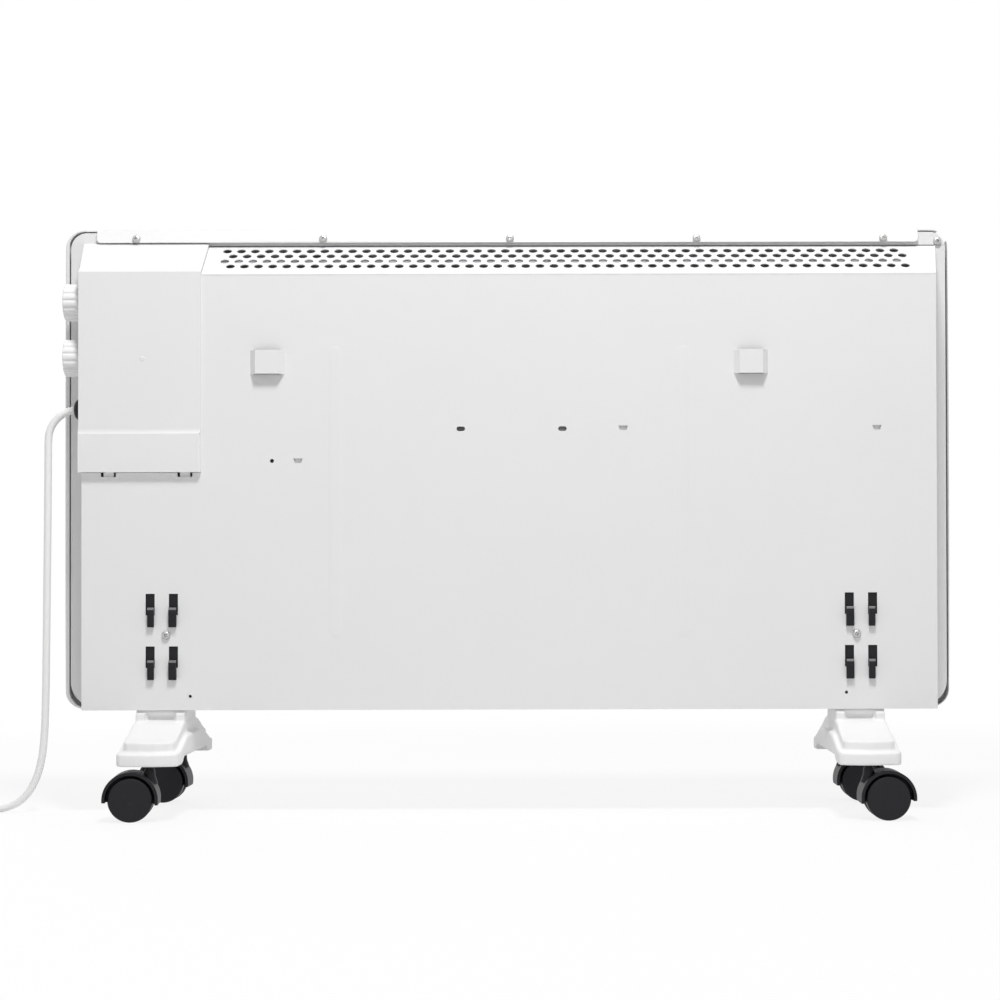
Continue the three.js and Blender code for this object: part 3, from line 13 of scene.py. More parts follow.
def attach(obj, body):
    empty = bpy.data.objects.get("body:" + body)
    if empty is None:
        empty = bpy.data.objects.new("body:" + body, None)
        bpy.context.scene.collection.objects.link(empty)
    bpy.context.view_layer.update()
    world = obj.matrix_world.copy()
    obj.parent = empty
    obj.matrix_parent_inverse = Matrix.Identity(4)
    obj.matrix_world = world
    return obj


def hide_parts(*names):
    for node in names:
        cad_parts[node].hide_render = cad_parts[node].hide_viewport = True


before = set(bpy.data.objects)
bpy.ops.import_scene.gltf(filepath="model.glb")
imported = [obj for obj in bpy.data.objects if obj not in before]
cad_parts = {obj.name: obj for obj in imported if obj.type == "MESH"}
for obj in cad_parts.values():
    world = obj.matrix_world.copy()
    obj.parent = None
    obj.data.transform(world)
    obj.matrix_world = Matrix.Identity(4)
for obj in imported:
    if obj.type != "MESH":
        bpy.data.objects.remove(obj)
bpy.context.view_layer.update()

bl_info = {
    "name": "Panel convector heater",
    "version": (1, 0, 0),
    "blender": (4, 5, 0),
    "location": "3D View > Sidebar > Heater",
    "description": "Makes the heater's visible pieces and the studio round it",
    "category": "Object",
}

MM = 0.001


# ---- what a user would change --------------------------------------------------------
class HeaterSizes(bpy.types.PropertyGroup):
    knob_diameter: bpy.props.FloatProperty(
        name="Knob diameter", description="Outside diameter of the two fluted knobs",
        default=0.0343, min=0.02, max=0.036, precision=4, subtype="DISTANCE", unit="LENGTH")
    knob_grooves: bpy.props.IntProperty(
        name="Knob grooves", description="Grooves round a knob", default=15, min=6, max=20)
    hole_diameter: bpy.props.FloatProperty(
        name="Outlet holes", description="Diameter of the round holes in the sloping outlet",
        default=0.0083, min=0.004, max=0.0085, precision=4, subtype="DISTANCE", unit="LENGTH")
    screw_head: bpy.props.FloatProperty(
        name="Screw head", description="Diameter of the small screws' heads",
        default=0.0076, min=0.005, max=0.008, precision=4, subtype="DISTANCE", unit="LENGTH")
    wheel_diameter: bpy.props.FloatProperty(
        name="Wheel diameter", description="Diameter of a caster's wheels",
        default=0.0395, min=0.03, max=0.0395, precision=4, subtype="DISTANCE", unit="LENGTH")
    sheet_edge: bpy.props.FloatProperty(
        name="Sheet edge", description="Softness that the paint gives to a sheet's edges",
        default=0.0003, min=0.0001, max=0.0005, precision=5, subtype="DISTANCE", unit="LENGTH")
    cord_diameter: bpy.props.FloatProperty(
        name="Cord diameter", description="Outside diameter of the supply cord",
        default=0.0068, min=0.005, max=0.008, precision=4, subtype="DISTANCE", unit="LENGTH")
    cord_length: bpy.props.FloatProperty(
        name="Cord length", description="Whole length of the supply cord",
        default=1.5, min=1.0, max=2.0, subtype="DISTANCE", unit="LENGTH")
    coil_turns: bpy.props.FloatProperty(
        name="Coil turns", description="How often the coiled cord goes round",
        default=1390 / 360, min=2, max=6)


class HeaterColours(bpy.types.PropertyGroup):
    paint: bpy.props.FloatVectorProperty(
        name="White paint", description="Powder coat on the sheet metal",
        default=(0.80, 0.80, 0.80, 1), size=4, min=0, max=1, subtype="COLOR")
    white_plastic: bpy.props.FloatVectorProperty(
        name="White plastic", description="Knobs and feet",
        default=(0.85, 0.85, 0.85, 1), size=4, min=0, max=1, subtype="COLOR")
    black_plastic: bpy.props.FloatVectorProperty(
        name="Black plastic", description="Casters, hooks and the cord outlet",
        default=(0.007, 0.0075, 0.0095, 1), size=4, min=0, max=1, subtype="COLOR")
    cord: bpy.props.FloatVectorProperty(
        name="Cord", description="Sheath of the cord and the plug",
        default=(0.88, 0.88, 0.875, 1), size=4, min=0, max=1, subtype="COLOR")
    zinc: bpy.props.FloatVectorProperty(
        name="Zinc sheet", description="Bare galvanised sheet inside the case",
        default=(0.46, 0.47, 0.48, 1), size=4, min=0, max=1, subtype="COLOR")
    floor: bpy.props.FloatVectorProperty(
        name="Floor", description="Studio floor",
        default=(0.84, 0.84, 0.84, 1), size=4, min=0, max=1, subtype="COLOR")


def sizes():
    """The sizes set in the sidebar."""
    return bpy.context.scene.heater_sizes


def colours():
    """The colours set in the sidebar."""
    return bpy.context.scene.heater_colours


# ---- shader maths written as Python --------------------------------------------------
class Wire:
    """A socket that takes part in expressions and adds the Math nodes they need."""

    def __init__(self, shader, value):
        self.shader = shader
        self.value = value

    def _math(self, operation, first, second, clamp=False):
        return self.shader.node("ShaderNodeMath", {"operation": operation, "use_clamp": clamp},
                                {0: first, 1: second})[0]

    def __add__(self, other):
        return self._math("ADD", self, other)

    __radd__ = __add__

    def __sub__(self, other):
        return self._math("SUBTRACT", self, other)

    def __rsub__(self, other):
        return self._math("SUBTRACT", other, self)

    def __mul__(self, other):
        return self._math("MULTIPLY", self, other)

    __rmul__ = __mul__

    def clamp(self):
        """The same, kept between 0 and 1."""
        return self._math("ADD", self, 0.0, clamp=True)

    def smooth(self, start, end):
        """0 before start, 1 after end, and a smooth step between them."""
        return self.shader.node(
            "ShaderNodeMapRange", {"interpolation_type": "SMOOTHSTEP"},
            {"Value": self, "From Min": start, "From Max": end, "To Min": 0.0, "To Max": 1.0})[0]


class Shader:
    """The node tree of one material, or of the world."""

    def __init__(self, owner):
        self.owner = owner
        owner.use_nodes = True
        self.tree = owner.node_tree
        self.tree.nodes.clear()

    def put(self, socket, value):
        """Gives a socket a number, a colour or a link."""
        if isinstance(value, Wire):
            self.tree.links.new(value.value, socket)
        else:
            socket.default_value = value

    def node(self, kind, settings=None, inputs=None, outputs=None):
        """Adds a node: its settings, then its sockets. Returns all or the named outputs."""
        made = self.tree.nodes.new(kind)
        for key, value in (settings or {}).items():
            setattr(made, key, value)
        for key, value in (inputs or {}).items():
            self.put(made.inputs[key], value)
        wanted = [made.outputs[name] for name in outputs] if outputs else made.outputs
        return [Wire(self, output) for output in wanted if output.enabled]

    def place(self, scale=(1, 1, 1)):
        """The point on the piece in metres, scaled."""
        point = self.node("ShaderNodeTexCoord", outputs=["Object"])[0]
        return self.node("ShaderNodeMapping", None, {"Vector": point, "Scale": scale})[0]

    def noise(self, size, detail=2.0, rough=0.5, point=None):
        """Even noise from 0 to 1 whose lumps are about size metres across."""
        return self.node("ShaderNodeTexNoise", None, {
            "Vector": point or self.place(), "Scale": 1.0 / size,
            "Detail": detail, "Roughness": rough})[0]

    def blend(self, factor, first, second):
        """The first colour where factor is 0 and the second where it is 1."""
        return self.node("ShaderNodeMix", {"data_type": "RGBA"},
                         {0: factor, 6: first, 7: second})[0]

    def relief(self, height, depth, strength=1.0, over=None):
        """A normal from a height of 0 to 1 that stands for depth in metres."""
        values = {"Height": height, "Distance": depth, "Strength": strength}
        if over is not None:
            values["Normal"] = over
        return self.node("ShaderNodeBump", None, values)[0]

    def show(self, shader, output="ShaderNodeOutputMaterial"):
        """Links a shader to an output, and returns the material or the world."""
        self.node(output, None, {"Surface": shader})
        return self.owner

    def finish(self, colour, rough, normal, constants=None):
        """The finished material. Constants are sockets that are the same all over."""
        values = {"Base Color": colour, "Roughness": rough, "Normal": normal}
        values.update(constants or {})
        return self.show(self.node("ShaderNodeBsdfPrincipled", None, values)[0])


def material_shader(name):
    """The empty node tree of a new material."""
    return Shader(bpy.data.materials.new(name))


def lighter(colour, share):
    """A colour made lighter, or darker by a negative share."""
    return tuple(min(1.0, c * (1 + share)) for c in colour[:3]) + (1.0,)


def powder_coat(name="white_powder_coat", painted_light_lift=0):
    """White powder coat: fine orange peel, very slight cloudiness. A lift makes a lighter copy of
    it, which paints light in.
    """
    s = material_shader(name)
    base = lighter(tuple(colours().paint), painted_light_lift)
    cloud = s.noise(0.09, 3.0)
    peel = s.noise(0.0016, 2.0, 0.45)
    grain = s.noise(0.00035, 1.0)
    colour = s.blend(cloud, lighter(base, -0.012), lighter(base, 0.012))
    rough = 0.36 + cloud * 0.06 + grain * 0.05
    fine = s.relief(grain, 0.000004, 0.6)
    return s.finish(colour, rough, s.relief(peel, 0.00002, 0.8, fine))


def moulded_white():
    """White moulded plastic with a spark-eroded grain."""
    s = material_shader("white_moulded_plastic")
    base = tuple(colours().white_plastic)
    grain = s.noise(0.0006, 2.0, 0.6)
    cloud = s.noise(0.05, 2.0)
    colour = s.blend(cloud, lighter(base, -0.015), lighter(base, 0.012))
    rough = 0.42 + grain * 0.12
    return s.finish(colour, rough, s.relief(grain, 0.000015, 0.7))


def moulded_black(name="black_nylon", base=None, rough=0.38, gloss=0.28):
    """Black nylon, or a grey copy of it that paints a highlight: fine grain and light scuffs."""
    s = material_shader(name)
    base = base or tuple(colours().black_plastic)
    grain = s.noise(0.0005, 2.0, 0.6)
    scuff = s.noise(0.006, 6.0, 0.7).smooth(0.56, 0.72)
    colour = s.blend(scuff, base, lighter(base, 0.9))
    return s.finish(colour, rough + grain * 0.15 + scuff * 0.12, s.relief(grain, 0.00002, 0.6),
                    {"Specular IOR Level": gloss})


def sheath():
    """Smooth white PVC of the cord and the plug."""
    s = material_shader("white_cord_pvc")
    base = tuple(colours().cord)
    skin = s.noise(0.0025, 3.0, 0.5)
    colour = s.blend(s.noise(0.03, 2.0), lighter(base, -0.02), lighter(base, 0.01))
    return s.finish(colour, 0.33 + skin * 0.1, s.relief(skin, 0.00003, 0.6))


METAL = {"Metallic": 1.0}


def galvanised():
    """Zinc sheet with its spangle."""
    s = material_shader("galvanised_sheet")
    base = tuple(colours().zinc)
    cell = s.node("ShaderNodeTexVoronoi", {"feature": "F1"}, {
        "Vector": s.place(), "Scale": 90.0, "Randomness": 1.0})
    tone = s.node("ShaderNodeSeparateColor", None, {0: cell[1]})[0]
    colour = s.blend(tone, lighter(base, -0.12), lighter(base, 0.14))
    return s.finish(colour, 0.34 + tone * 0.18, s.relief(tone, 0.00001, 0.3), METAL)


def bare_metal(name, base, rough):
    """Plain drawn metal with fine lines."""
    s = material_shader(name)
    lines = s.noise(0.0008, 3.0, 0.6, s.place(scale=(0.06, 1, 1)))
    colour = s.blend(lines, lighter(base, -0.08), lighter(base, 0.08))
    return s.finish(colour, rough + lines * 0.12, s.relief(lines, 0.000006, 0.5), METAL)


def grey_plastic():
    """Grey phenolic of the parts inside."""
    s = material_shader("grey_phenolic")
    grain = s.noise(0.0012, 3.0, 0.6)
    colour = s.blend(grain, (0.16, 0.16, 0.17, 1), (0.20, 0.20, 0.21, 1))
    return s.finish(colour, 0.5 + grain * 0.15, s.relief(grain, 0.00003, 0.6))


FINISHES = {
    "white_powder_coat": powder_coat, "white_moulded_plastic": moulded_white,
    "black_nylon": moulded_black, "white_cord_pvc": sheath, "galvanised_sheet": galvanised,
    "grey_phenolic": grey_plastic,
    # a lighter copy of the white coat for the rail: painted light on its face
    "rail_painted_light_coat": lambda: powder_coat("rail_painted_light_coat", painted_light_lift=0.06),
    # a grey copy of the black nylon for the hooks' shoulder bevels: a painted highlight
    "clip_shoulder_painted_highlight": lambda: moulded_black("clip_shoulder_painted_highlight", (0.17, 0.17, 0.17, 1), 0.33, 0.5),
    "plated_screw": lambda: bare_metal("plated_screw", (0.52, 0.52, 0.51, 1), 0.3),
    "bright_steel": lambda: bare_metal("bright_steel", (0.55, 0.55, 0.55, 1), 0.25),
    "aluminium_fins": lambda: bare_metal("aluminium_fins", (0.72, 0.73, 0.74, 1), 0.3),
    "plug_pin_metal": lambda: bare_metal("plug_pin_metal", (0.62, 0.60, 0.55, 1), 0.22),
}


def finish(name):
    """The finish of that name, made when it is first asked for."""
    return bpy.data.materials.get(name) or FINISHES[name]()


# ---- modelling by operators ----------------------------------------------------------
def leave_all():
    """Leaves edit mode and deselects everything."""
    if bpy.context.object and bpy.context.object.mode != "OBJECT":
        bpy.ops.object.mode_set(mode="OBJECT")
    bpy.ops.object.select_all(action="DESELECT")


def hold(piece, mode="OBJECT"):
    """Selects one piece and makes it active."""
    leave_all()
    piece.select_set(True)
    bpy.context.view_layer.objects.active = piece
    if mode == "EDIT":
        bpy.ops.object.mode_set(mode="EDIT")
        bpy.ops.mesh.select_mode(type="VERT")
        bpy.ops.mesh.select_all(action="SELECT")
    return piece


def fix_place(piece):
    """Puts a piece's place, turn and scale in its mesh."""
    hold(piece)
    bpy.ops.object.transform_apply(location=True, rotation=True, scale=True)
    return piece


def pick(piece, test):
    """In edit mode, selects only the vertices whose place in mm passes the test."""
    bpy.ops.mesh.select_all(action="DESELECT")
    mesh = bmesh.from_edit_mesh(piece.data)
    for vertex in mesh.verts:
        vertex.select = test(vertex.co / MM)
    mesh.select_flush(True)
    bmesh.update_edit_mesh(piece.data)


def apply_modifier(piece, kind, **settings):
    """Adds a modifier with its settings, and applies it."""
    hold(piece)
    made = piece.modifiers.new("work", kind)
    for key, value in settings.items():
        setattr(made, key, value)
    bpy.ops.object.modifier_apply(modifier=made.name)
    return piece


def cut(piece, tool, operation="DIFFERENCE"):
    """Cuts a tool out of a piece, or joins it on, and removes the tool."""
    apply_modifier(piece, "BOOLEAN", operation=operation, solver="EXACT", object=tool)
    bpy.data.objects.remove(tool)


def soft_edges(piece, width, segments=2, angle=32):
    """Rounds the edges that are sharper than an angle."""
    return apply_modifier(piece, "BEVEL", width=width, segments=segments, limit_method="ANGLE",
                          angle_limit=math.radians(angle), use_clamp_overlap=True,
                          miter_outer="MITER_ARC")


def tidy_mesh(piece, flat=0.6):
    """Merges doubles, melts flat facets into one face and turns the faces out."""
    hold(piece, "EDIT")
    bpy.ops.mesh.remove_doubles(threshold=2e-6)
    bpy.ops.mesh.dissolve_limited(angle_limit=math.radians(flat))
    bpy.ops.mesh.normals_make_consistent(inside=False)
    leave_all()
    return piece


def own_copy(piece, name):
    """Another piece with its own mesh."""
    made = bpy.data.objects.new(name, piece.data.copy())
    bpy.context.scene.collection.objects.link(made)
    return made


def from_node(node, name):
    """A merged copy of a CAD node's mesh, to be softened and finished."""
    return tidy_mesh(own_copy(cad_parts[node], name))


def block(low, high):
    """A box between two corners in mm: a start, or a tool for cutting."""
    leave_all()
    low, high = Vector(low) * MM, Vector(high) * MM
    bpy.ops.mesh.primitive_cube_add(size=1, location=(low + high) / 2, scale=high - low)
    return fix_place(bpy.context.object)


def rod(radius, low, high, sides=32, axis="Z", centre=(0, 0, 0)):
    """A round bar in mm along an axis, between two places on it."""
    leave_all()
    place = Vector(centre)
    turn = {"Y": (math.pi / 2, 0, 0), "Z": (0, 0, 0)}[axis]
    place["XYZ".index(axis)] += (low + high) / 2
    bpy.ops.mesh.primitive_cylinder_add(
        vertices=sides, radius=radius * MM, depth=(high - low) * MM, location=place * MM,
        rotation=turn)
    return fix_place(bpy.context.object)


def turned(profile, sides=48, ring=False):
    """A form turned round +Z from pairs of radius and height in mm, from a circle extruded."""
    leave_all()
    radius, height = profile[0]
    bpy.ops.mesh.primitive_circle_add(
        vertices=sides, radius=radius * MM, fill_type="NOTHING", location=(0, 0, height * MM))
    piece = hold(fix_place(bpy.context.object), "EDIT")
    for (r0, z0), (r1, z1) in zip(profile, profile[1:]):
        bpy.ops.mesh.extrude_edges_move(
            TRANSFORM_OT_translate={"value": (0, 0, (z1 - z0) * MM)})
        bpy.ops.transform.resize(value=(r1 / r0, r1 / r0, 1), center_override=(0, 0, z1 * MM))
    if ring:
        bpy.ops.mesh.select_all(action="DESELECT")
        bpy.ops.mesh.select_non_manifold(use_wire=False, use_multi_face=False,
                                         use_non_contiguous=False, use_verts=False)
        bpy.ops.mesh.bridge_edge_loops()
    else:
        bpy.ops.mesh.select_all(action="SELECT")
        bpy.ops.mesh.fill_holes(sides=0)
    bpy.ops.mesh.select_all(action="SELECT")
    bpy.ops.mesh.normals_make_consistent(inside=False)
    leave_all()
    return piece


def quarter(radius, height, round_, steps=4):
    """Points of a rounded rim that ends at a radius and a height."""
    points = []
    for i in range(steps + 1):
        a = math.pi / 2 * i / steps
        points.append((radius - round_ * (1 - math.cos(a)), height - round_ * (1 - math.sin(a))))
    return points


def settle(piece, name, material, body, stands_for=(), angle=35, flat_faces=True):
    """Names, smooths and finishes a piece, and says what it rides on and stands for."""
    fix_place(piece)
    piece.name = piece.data.name = name
    piece.data.materials.clear()
    piece.data.materials.append(finish(material))
    bpy.ops.object.shade_smooth_by_angle(angle=math.radians(angle))
    if flat_faces:
        apply_modifier(piece, "WEIGHTED_NORMAL", mode="FACE_AREA", weight=50, keep_sharp=True)
    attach(piece, body)
    if stands_for:
        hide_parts(*stands_for)
    leave_all()


def paint_node(node, material):
    """Gives a CAD node's slots a finish."""
    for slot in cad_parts[node].material_slots:
        slot.material = finish(material)


# ---- the cord -------------------------------------------------------------------------
CORD_Y = 0.010                        # the outlet and the hanging cord, in metres
GLAND_Z = 370.6                       # the outlet's height, in mm
# x and z in mm from inside the outlet to the coil; the cord leaves the heater at EXIT
EXIT = (394.6, GLAND_Z)
CORD_DOWN = ((371, GLAND_Z), (383, GLAND_Z), EXIT, (401.85, 369.65), (408.6, 366.85),
             (414.4, 362.4), (418.85, 356.6), (421.65, 349.85), (422.5, 343), (422.7, 330),
             (422.9, 300), (423.2, 260), (423.7, 210), (424.3, 150), (425, 100), (426.2, 70),
             (429, 47), (435, 28), (444.6, 13.6), (456, 6), (467, 3.5), (474, 3.5), (489, 3.5))
COIL_CENTRE = Vector((0.513, 0.0516, 0))
COIL_RADIUS = 0.0416                  # of the outer turn's middle
COIL_PITCH = 6.8 * MM                 # turns lie a cord's diameter apart
COIL_START = -90                      # degrees round it where the cord comes in
COIL_LEAVES = -140                    # and where the top turn leaves for the plug
TAIL_Z = 10.7 * MM                    # the top turn's height there
TAIL_RISE = 7.9 * MM                  # from there up to the plug's middle
TAIL_HEADING = -70                    # degrees, the way the plug points
PLUG_BORE = 23                        # how far the cord goes into the plug, in mm
# corners of the coil's tie and of the hole in it before it is turned, in mm
TIE = ((23.7, -3, 0.05), (45.8, 3, 15))
TIE_HOLE = ((24.3, -5, 0.5), (45.2, 5, 14.5))
TIE_ANGLE = 62


def coil_points(step=15):
    """The coil: round the outside, in twice, up, and out again over the top, a diameter apart."""
    outer, middle, inner = (COIL_RADIUS - ring * COIL_PITCH for ring in range(3))
    low, high = 3.9 * MM, 10.8 * MM
    sweep = 360 * sizes().coil_turns
    # degrees gone round and radius: each place is left before the next turn comes to it
    rings = ((0, outer), (250, outer), (360, middle), (600, middle), (720, inner), (822, inner),
             (942, middle), (1150, middle), (1270, outer), (sweep, outer))
    levels = ((0, 3.6 * MM), (60, low), (690, low), (830, high), (sweep, high))

    def along(stations, gone):
        """The value at an angle, eased between two stations."""
        for (s0, v0), (s1, v1) in zip(stations, stations[1:]):
            if s0 <= gone <= s1:
                t = (gone - s0) / (s1 - s0)
                share = 2 * t * t if t < 0.5 else 1 - 2 * (1 - t) ** 2
                return v0 + (v1 - v0) * share

    count = int(sweep / step)
    points = []
    for i in range(1, count + 1):
        gone = sweep * i / count
        r, z = along(rings, gone), along(levels, gone)
        angle = math.radians(COIL_START + gone)
        points.append(COIL_CENTRE + Vector((r * math.cos(angle), r * math.sin(angle), z)))
    return points


def tail_points():
    """From the coil's top turn to the plug's sleeve, as the CAD tail runs."""
    leaves = math.radians(COIL_LEAVES)
    first, heading = math.radians(COIL_LEAVES + 90), math.radians(TAIL_HEADING)
    at = COIL_CENTRE + Vector(
        (COIL_RADIUS * math.cos(leaves), COIL_RADIUS * math.sin(leaves), TAIL_Z))
    points = []

    def ahead(angle, distance, z):
        at.x += distance * math.cos(angle)
        at.y += distance * math.sin(angle)
        at.z = z
        points.append(at.copy())

    for step in (12, 12.15):
        ahead(first, step * MM, TAIL_Z)
    for i in range(1, 7):
        share = i / 6
        rise = share * share * (3 - 2 * share)
        ahead(first + (heading - first) * share, 8 * MM, TAIL_Z + TAIL_RISE * rise)
    for step in (4, 12, 11):
        ahead(heading, step * MM, at.z)
    return points


def smooth_curve(name, points, diameter, material):
    """One open smooth spline through the points, as thick as the cord."""
    curve = bpy.data.curves.new(name, "CURVE")
    curve.dimensions = "3D"
    curve.bevel_depth = diameter / 2
    curve.bevel_resolution = 5
    curve.resolution_u = curve.render_resolution_u = 6
    curve.use_fill_caps = True
    spline = curve.splines.new("BEZIER")
    spline.bezier_points.add(len(points) - 1)
    for point, place in zip(spline.bezier_points, points):
        point.co = place
        point.handle_left_type = point.handle_right_type = "AUTO"
    curve.materials.append(material)
    piece = bpy.data.objects.new(name, curve)
    bpy.context.scene.collection.objects.link(piece)
    return piece


class HEATER_OT_cord(bpy.types.Operator):
    """The supply cord, its coil on the floor and the tie that holds it"""
    bl_idname = "heater.cord"
    bl_label = "Supply cord"

    def execute(self, context):
        points = [Vector((x * MM, CORD_Y, z * MM)) for x, z in CORD_DOWN]
        points += coil_points() + tail_points()
        cord = smooth_curve("supply_cord", points, sizes().cord_diameter, finish("white_cord_pvc"))
        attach(cord, "heater")
        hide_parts("power_cord", "cord_coil", "cord_tail")
        tie = block(*TIE)
        hold(tie, "EDIT")
        bpy.ops.mesh.bevel(offset=3.0 * MM, segments=4)
        cut(tie, block(*TIE_HOLE))
        tie.rotation_euler.z = math.radians(TIE_ANGLE)
        tie.location = COIL_CENTRE
        settle(tie, "cord_tie", "black_nylon", "heater", angle=40)
        return {"FINISHED"}


class HEATER_OT_plug(bpy.types.Operator):
    """The plug with its ribbed sleeve, and the finish of its two pins"""
    bl_idname = "heater.plug"
    bl_label = "Plug"

    def execute(self, context):
        sleeve = [(3.7, PLUG_BORE), (3.7, 0.4), (4.0, 0), (4.7, 0)]
        for i in range(7):
            z, r = 1.2 + i * 3.0, 4.9 + i * 0.16
            sleeve += [(r, z), (r + 0.1, z + 1.7), (r - 0.6, z + 2.0), (r - 0.6, z + 2.7)]
        body = [(6.2, 22.6), (6.6, 26), (8.5, 30), (11.5, 33.4), (15, 37.5), (17, 42.5),
                (18.2, 46.5), (18.5, 49)]
        body += quarter(18.5, 70, 1.4) + [(16.2, 70), (15.8, 69.5), (3, 69.5)]
        plug = turned(sleeve + body)
        for side in (-1, 1):
            low, high = sorted((side * 16.3, side * 20))
            cut(plug, block((low, -3, 54), (high, 3, 75)))
        heading = math.radians(TAIL_HEADING)
        ahead = Vector((math.cos(heading), math.sin(heading), 0))
        plug.rotation_euler = ahead.to_track_quat("Z", "Y").to_euler()
        plug.location = tail_points()[-1] - ahead * PLUG_BORE * MM
        settle(plug, "plug_moulding", "white_cord_pvc", "heater", ["plug_body"], 30)
        for pin in ("plug_pin_a", "plug_pin_b"):
            paint_node(pin, "plug_pin_metal")
        return {"FINISHED"}


class HEATER_OT_finishes(bpy.types.Operator):
    """Finishes of the pieces that keep the frame's own shapes"""
    bl_idname = "heater.finishes"
    bl_label = "Inner pieces"

    def execute(self, context):
        kept = {
            "white_powder_coat": ("inlet_grille",),
            "galvanised_sheet": ("deflector", "reflector", "control_bracket", "control_partition",
                                 "element_bracket_left", "element_bracket_right"),
            "grey_phenolic": ("thermostat_body", "selector_body", "terminal_block",
                              "thermal_cutout"),
            "aluminium_fins": ("heating_element",),
            "bright_steel": ("thermostat_shaft", "selector_shaft",
                             *(f"caster_{tag}_axle" for tag in CASTER_PLACES)),
        }
        for material, nodes in kept.items():
            for node in nodes:
                paint_node(node, material)
        return {"FINISHED"}


# the sloping outlet's upper line, its fall and its ends, in mm
FLANGE_Y, REAR_Y = -18, 32
SLOPE_TOP, RIDGE = 525.5, 493
SLOPE = math.atan2(SLOPE_TOP - RIDGE, REAR_Y - FLANGE_Y)
OUTLET_X = (-401, 278.2)
OUTLET_TAPER = 7.8                    # how much shorter its lower edge is at the far end
# along the slope: the first hole's x, the step between holes, the first row, the step of rows
HOLES = {"first": 260, "pitch": 12.94, "count": 49, "rows": 4, "row": 11.1, "step": 10.85}

COVER_TOP = 491.5                     # the rear sheet's upper edge under the outlet, in mm
COVER_FOOT = 310                      # below the edge that runs beside the control box
COVER_RISE, COVER_REACH = 0.5, 0.6    # how far those two edges move to close their joints

# piece, the node it stands for and how soft its edges are against the usual
SHEETS = (("panel_pan", "front_panel", 1.4), ("frame_side_left", "side_frame_left", 1),
          ("frame_side_right", "side_frame_right", 1), ("frame_top", "top_frame", 1),
          ("rear_sheet", "rear_cover", 1), ("rail_strip", "top_rail", 1.2),
          ("control_cover", "control_box_cover", 1.3))


class HEATER_OT_sheets(bpy.types.Operator):
    """The painted sheets, with the soft edges that the paint gives them"""
    bl_idname = "heater.sheets"
    bl_label = "Painted sheets"

    def execute(self, context):
        for name, node, softness in SHEETS:
            piece = from_node(node, name)
            soft_edges(piece, sizes().sheet_edge * softness)
            if name == "rear_sheet":
                hold(piece, "EDIT")
                pick(piece, lambda v: v.z > COVER_TOP - 0.7 and v.x < OUTLET_X[1])
                bpy.ops.transform.translate(value=(0, 0, COVER_RISE * MM))
                pick(piece, lambda v: abs(v.x - OUTLET_X[1]) < 0.7 and v.z > COVER_FOOT)
                bpy.ops.transform.translate(value=(COVER_REACH * MM, 0, 0))
            # the rail strip takes the lighter copy of the paint: painted light
            paint = "rail_painted_light_coat" if name == "rail_strip" else "white_powder_coat"
            settle(piece, name, paint, "heater", [node], 30)
        return {"FINISHED"}


class HEATER_OT_outlet(bpy.types.Operator):
    """The sloping sheet with four staggered rows of round holes"""
    bl_idname = "heater.outlet"
    bl_label = "Air outlet"

    def execute(self, context):
        sheet = block((OUTLET_X[0], 0.95, -1), (OUTLET_X[1], 62, 0))
        hold(sheet, "EDIT")
        pick(sheet, lambda v: v.x < 0 and v.y > 30)
        bpy.ops.transform.translate(value=(OUTLET_TAPER * MM, 0, 0))
        leave_all()
        drill = rod(sizes().hole_diameter / MM / 2, -3, 2, 16)
        drill.location = (HOLES["first"] * MM, HOLES["row"] * MM, 0)
        fix_place(drill)
        apply_modifier(drill, "ARRAY", count=HOLES["count"], use_relative_offset=False,
                       use_constant_offset=True,
                       constant_offset_displace=(-HOLES["pitch"] * MM, 0, 0))
        for row in range(HOLES["rows"]):
            drills = own_copy(drill, "drills")
            drills.location = (-(row % 2) * HOLES["pitch"] / 2 * MM, row * HOLES["step"] * MM, 0)
            cut(sheet, fix_place(drills))
        bpy.data.objects.remove(drill)
        sheet.rotation_euler.x = -SLOPE
        sheet.location = (0, FLANGE_Y * MM, SLOPE_TOP * MM)
        hold(fix_place(sheet), "EDIT")
        bpy.ops.mesh.bisect(plane_co=(0, REAR_Y * MM, 0), plane_no=(0, 1, 0), use_fill=True,
                            clear_outer=True)
        leave_all()
        soft_edges(sheet, 0.12 * MM, 1, 50)
        settle(sheet, "outlet_sheet", "white_powder_coat", "heater",
               ["outlet_grille"], 25)
        return {"FINISHED"}


SCREW_HEIGHT = 2.4                    # of every head, in mm
RECESS = 0.62                         # the cross's reach against the head's radius
CLIP_SCREW_HEAD = 7.8
RAIL_LEAN = math.radians(14.25)       # the rail's face leans back by this
RAIL_SCREW = (345.8, -13.61, 531.8)   # the first one's seat
RAIL_SCREW_STEP = 174.4


def cross_screw(head, height, shank):
    """A pan-headed screw with a cross recess, seated on z = 0 and pointing up, in mm."""
    r = head / 2
    screw = turned([(1.8, -shank), (1.8, 0), (r - 0.15, 0), (r, 0.15), (r * 0.99, height * 0.38),
                    (r * 0.92, height * 0.64), (r * 0.76, height * 0.86), (r * 0.5, height * 0.97),
                    (r * 0.2, height)], 32)
    for turn in (0, math.pi / 2):
        slot = block((-r * RECESS, -0.65, height - 1.6), (r * RECESS, 0.65, height + 1))
        hold(slot, "EDIT")
        pick(slot, lambda v: v.z < height)
        bpy.ops.transform.resize(value=(0.35, 0.5, 1), center_override=(0, 0, 0))
        leave_all()
        slot.rotation_euler.z = turn
        cut(screw, fix_place(slot))
    return screw


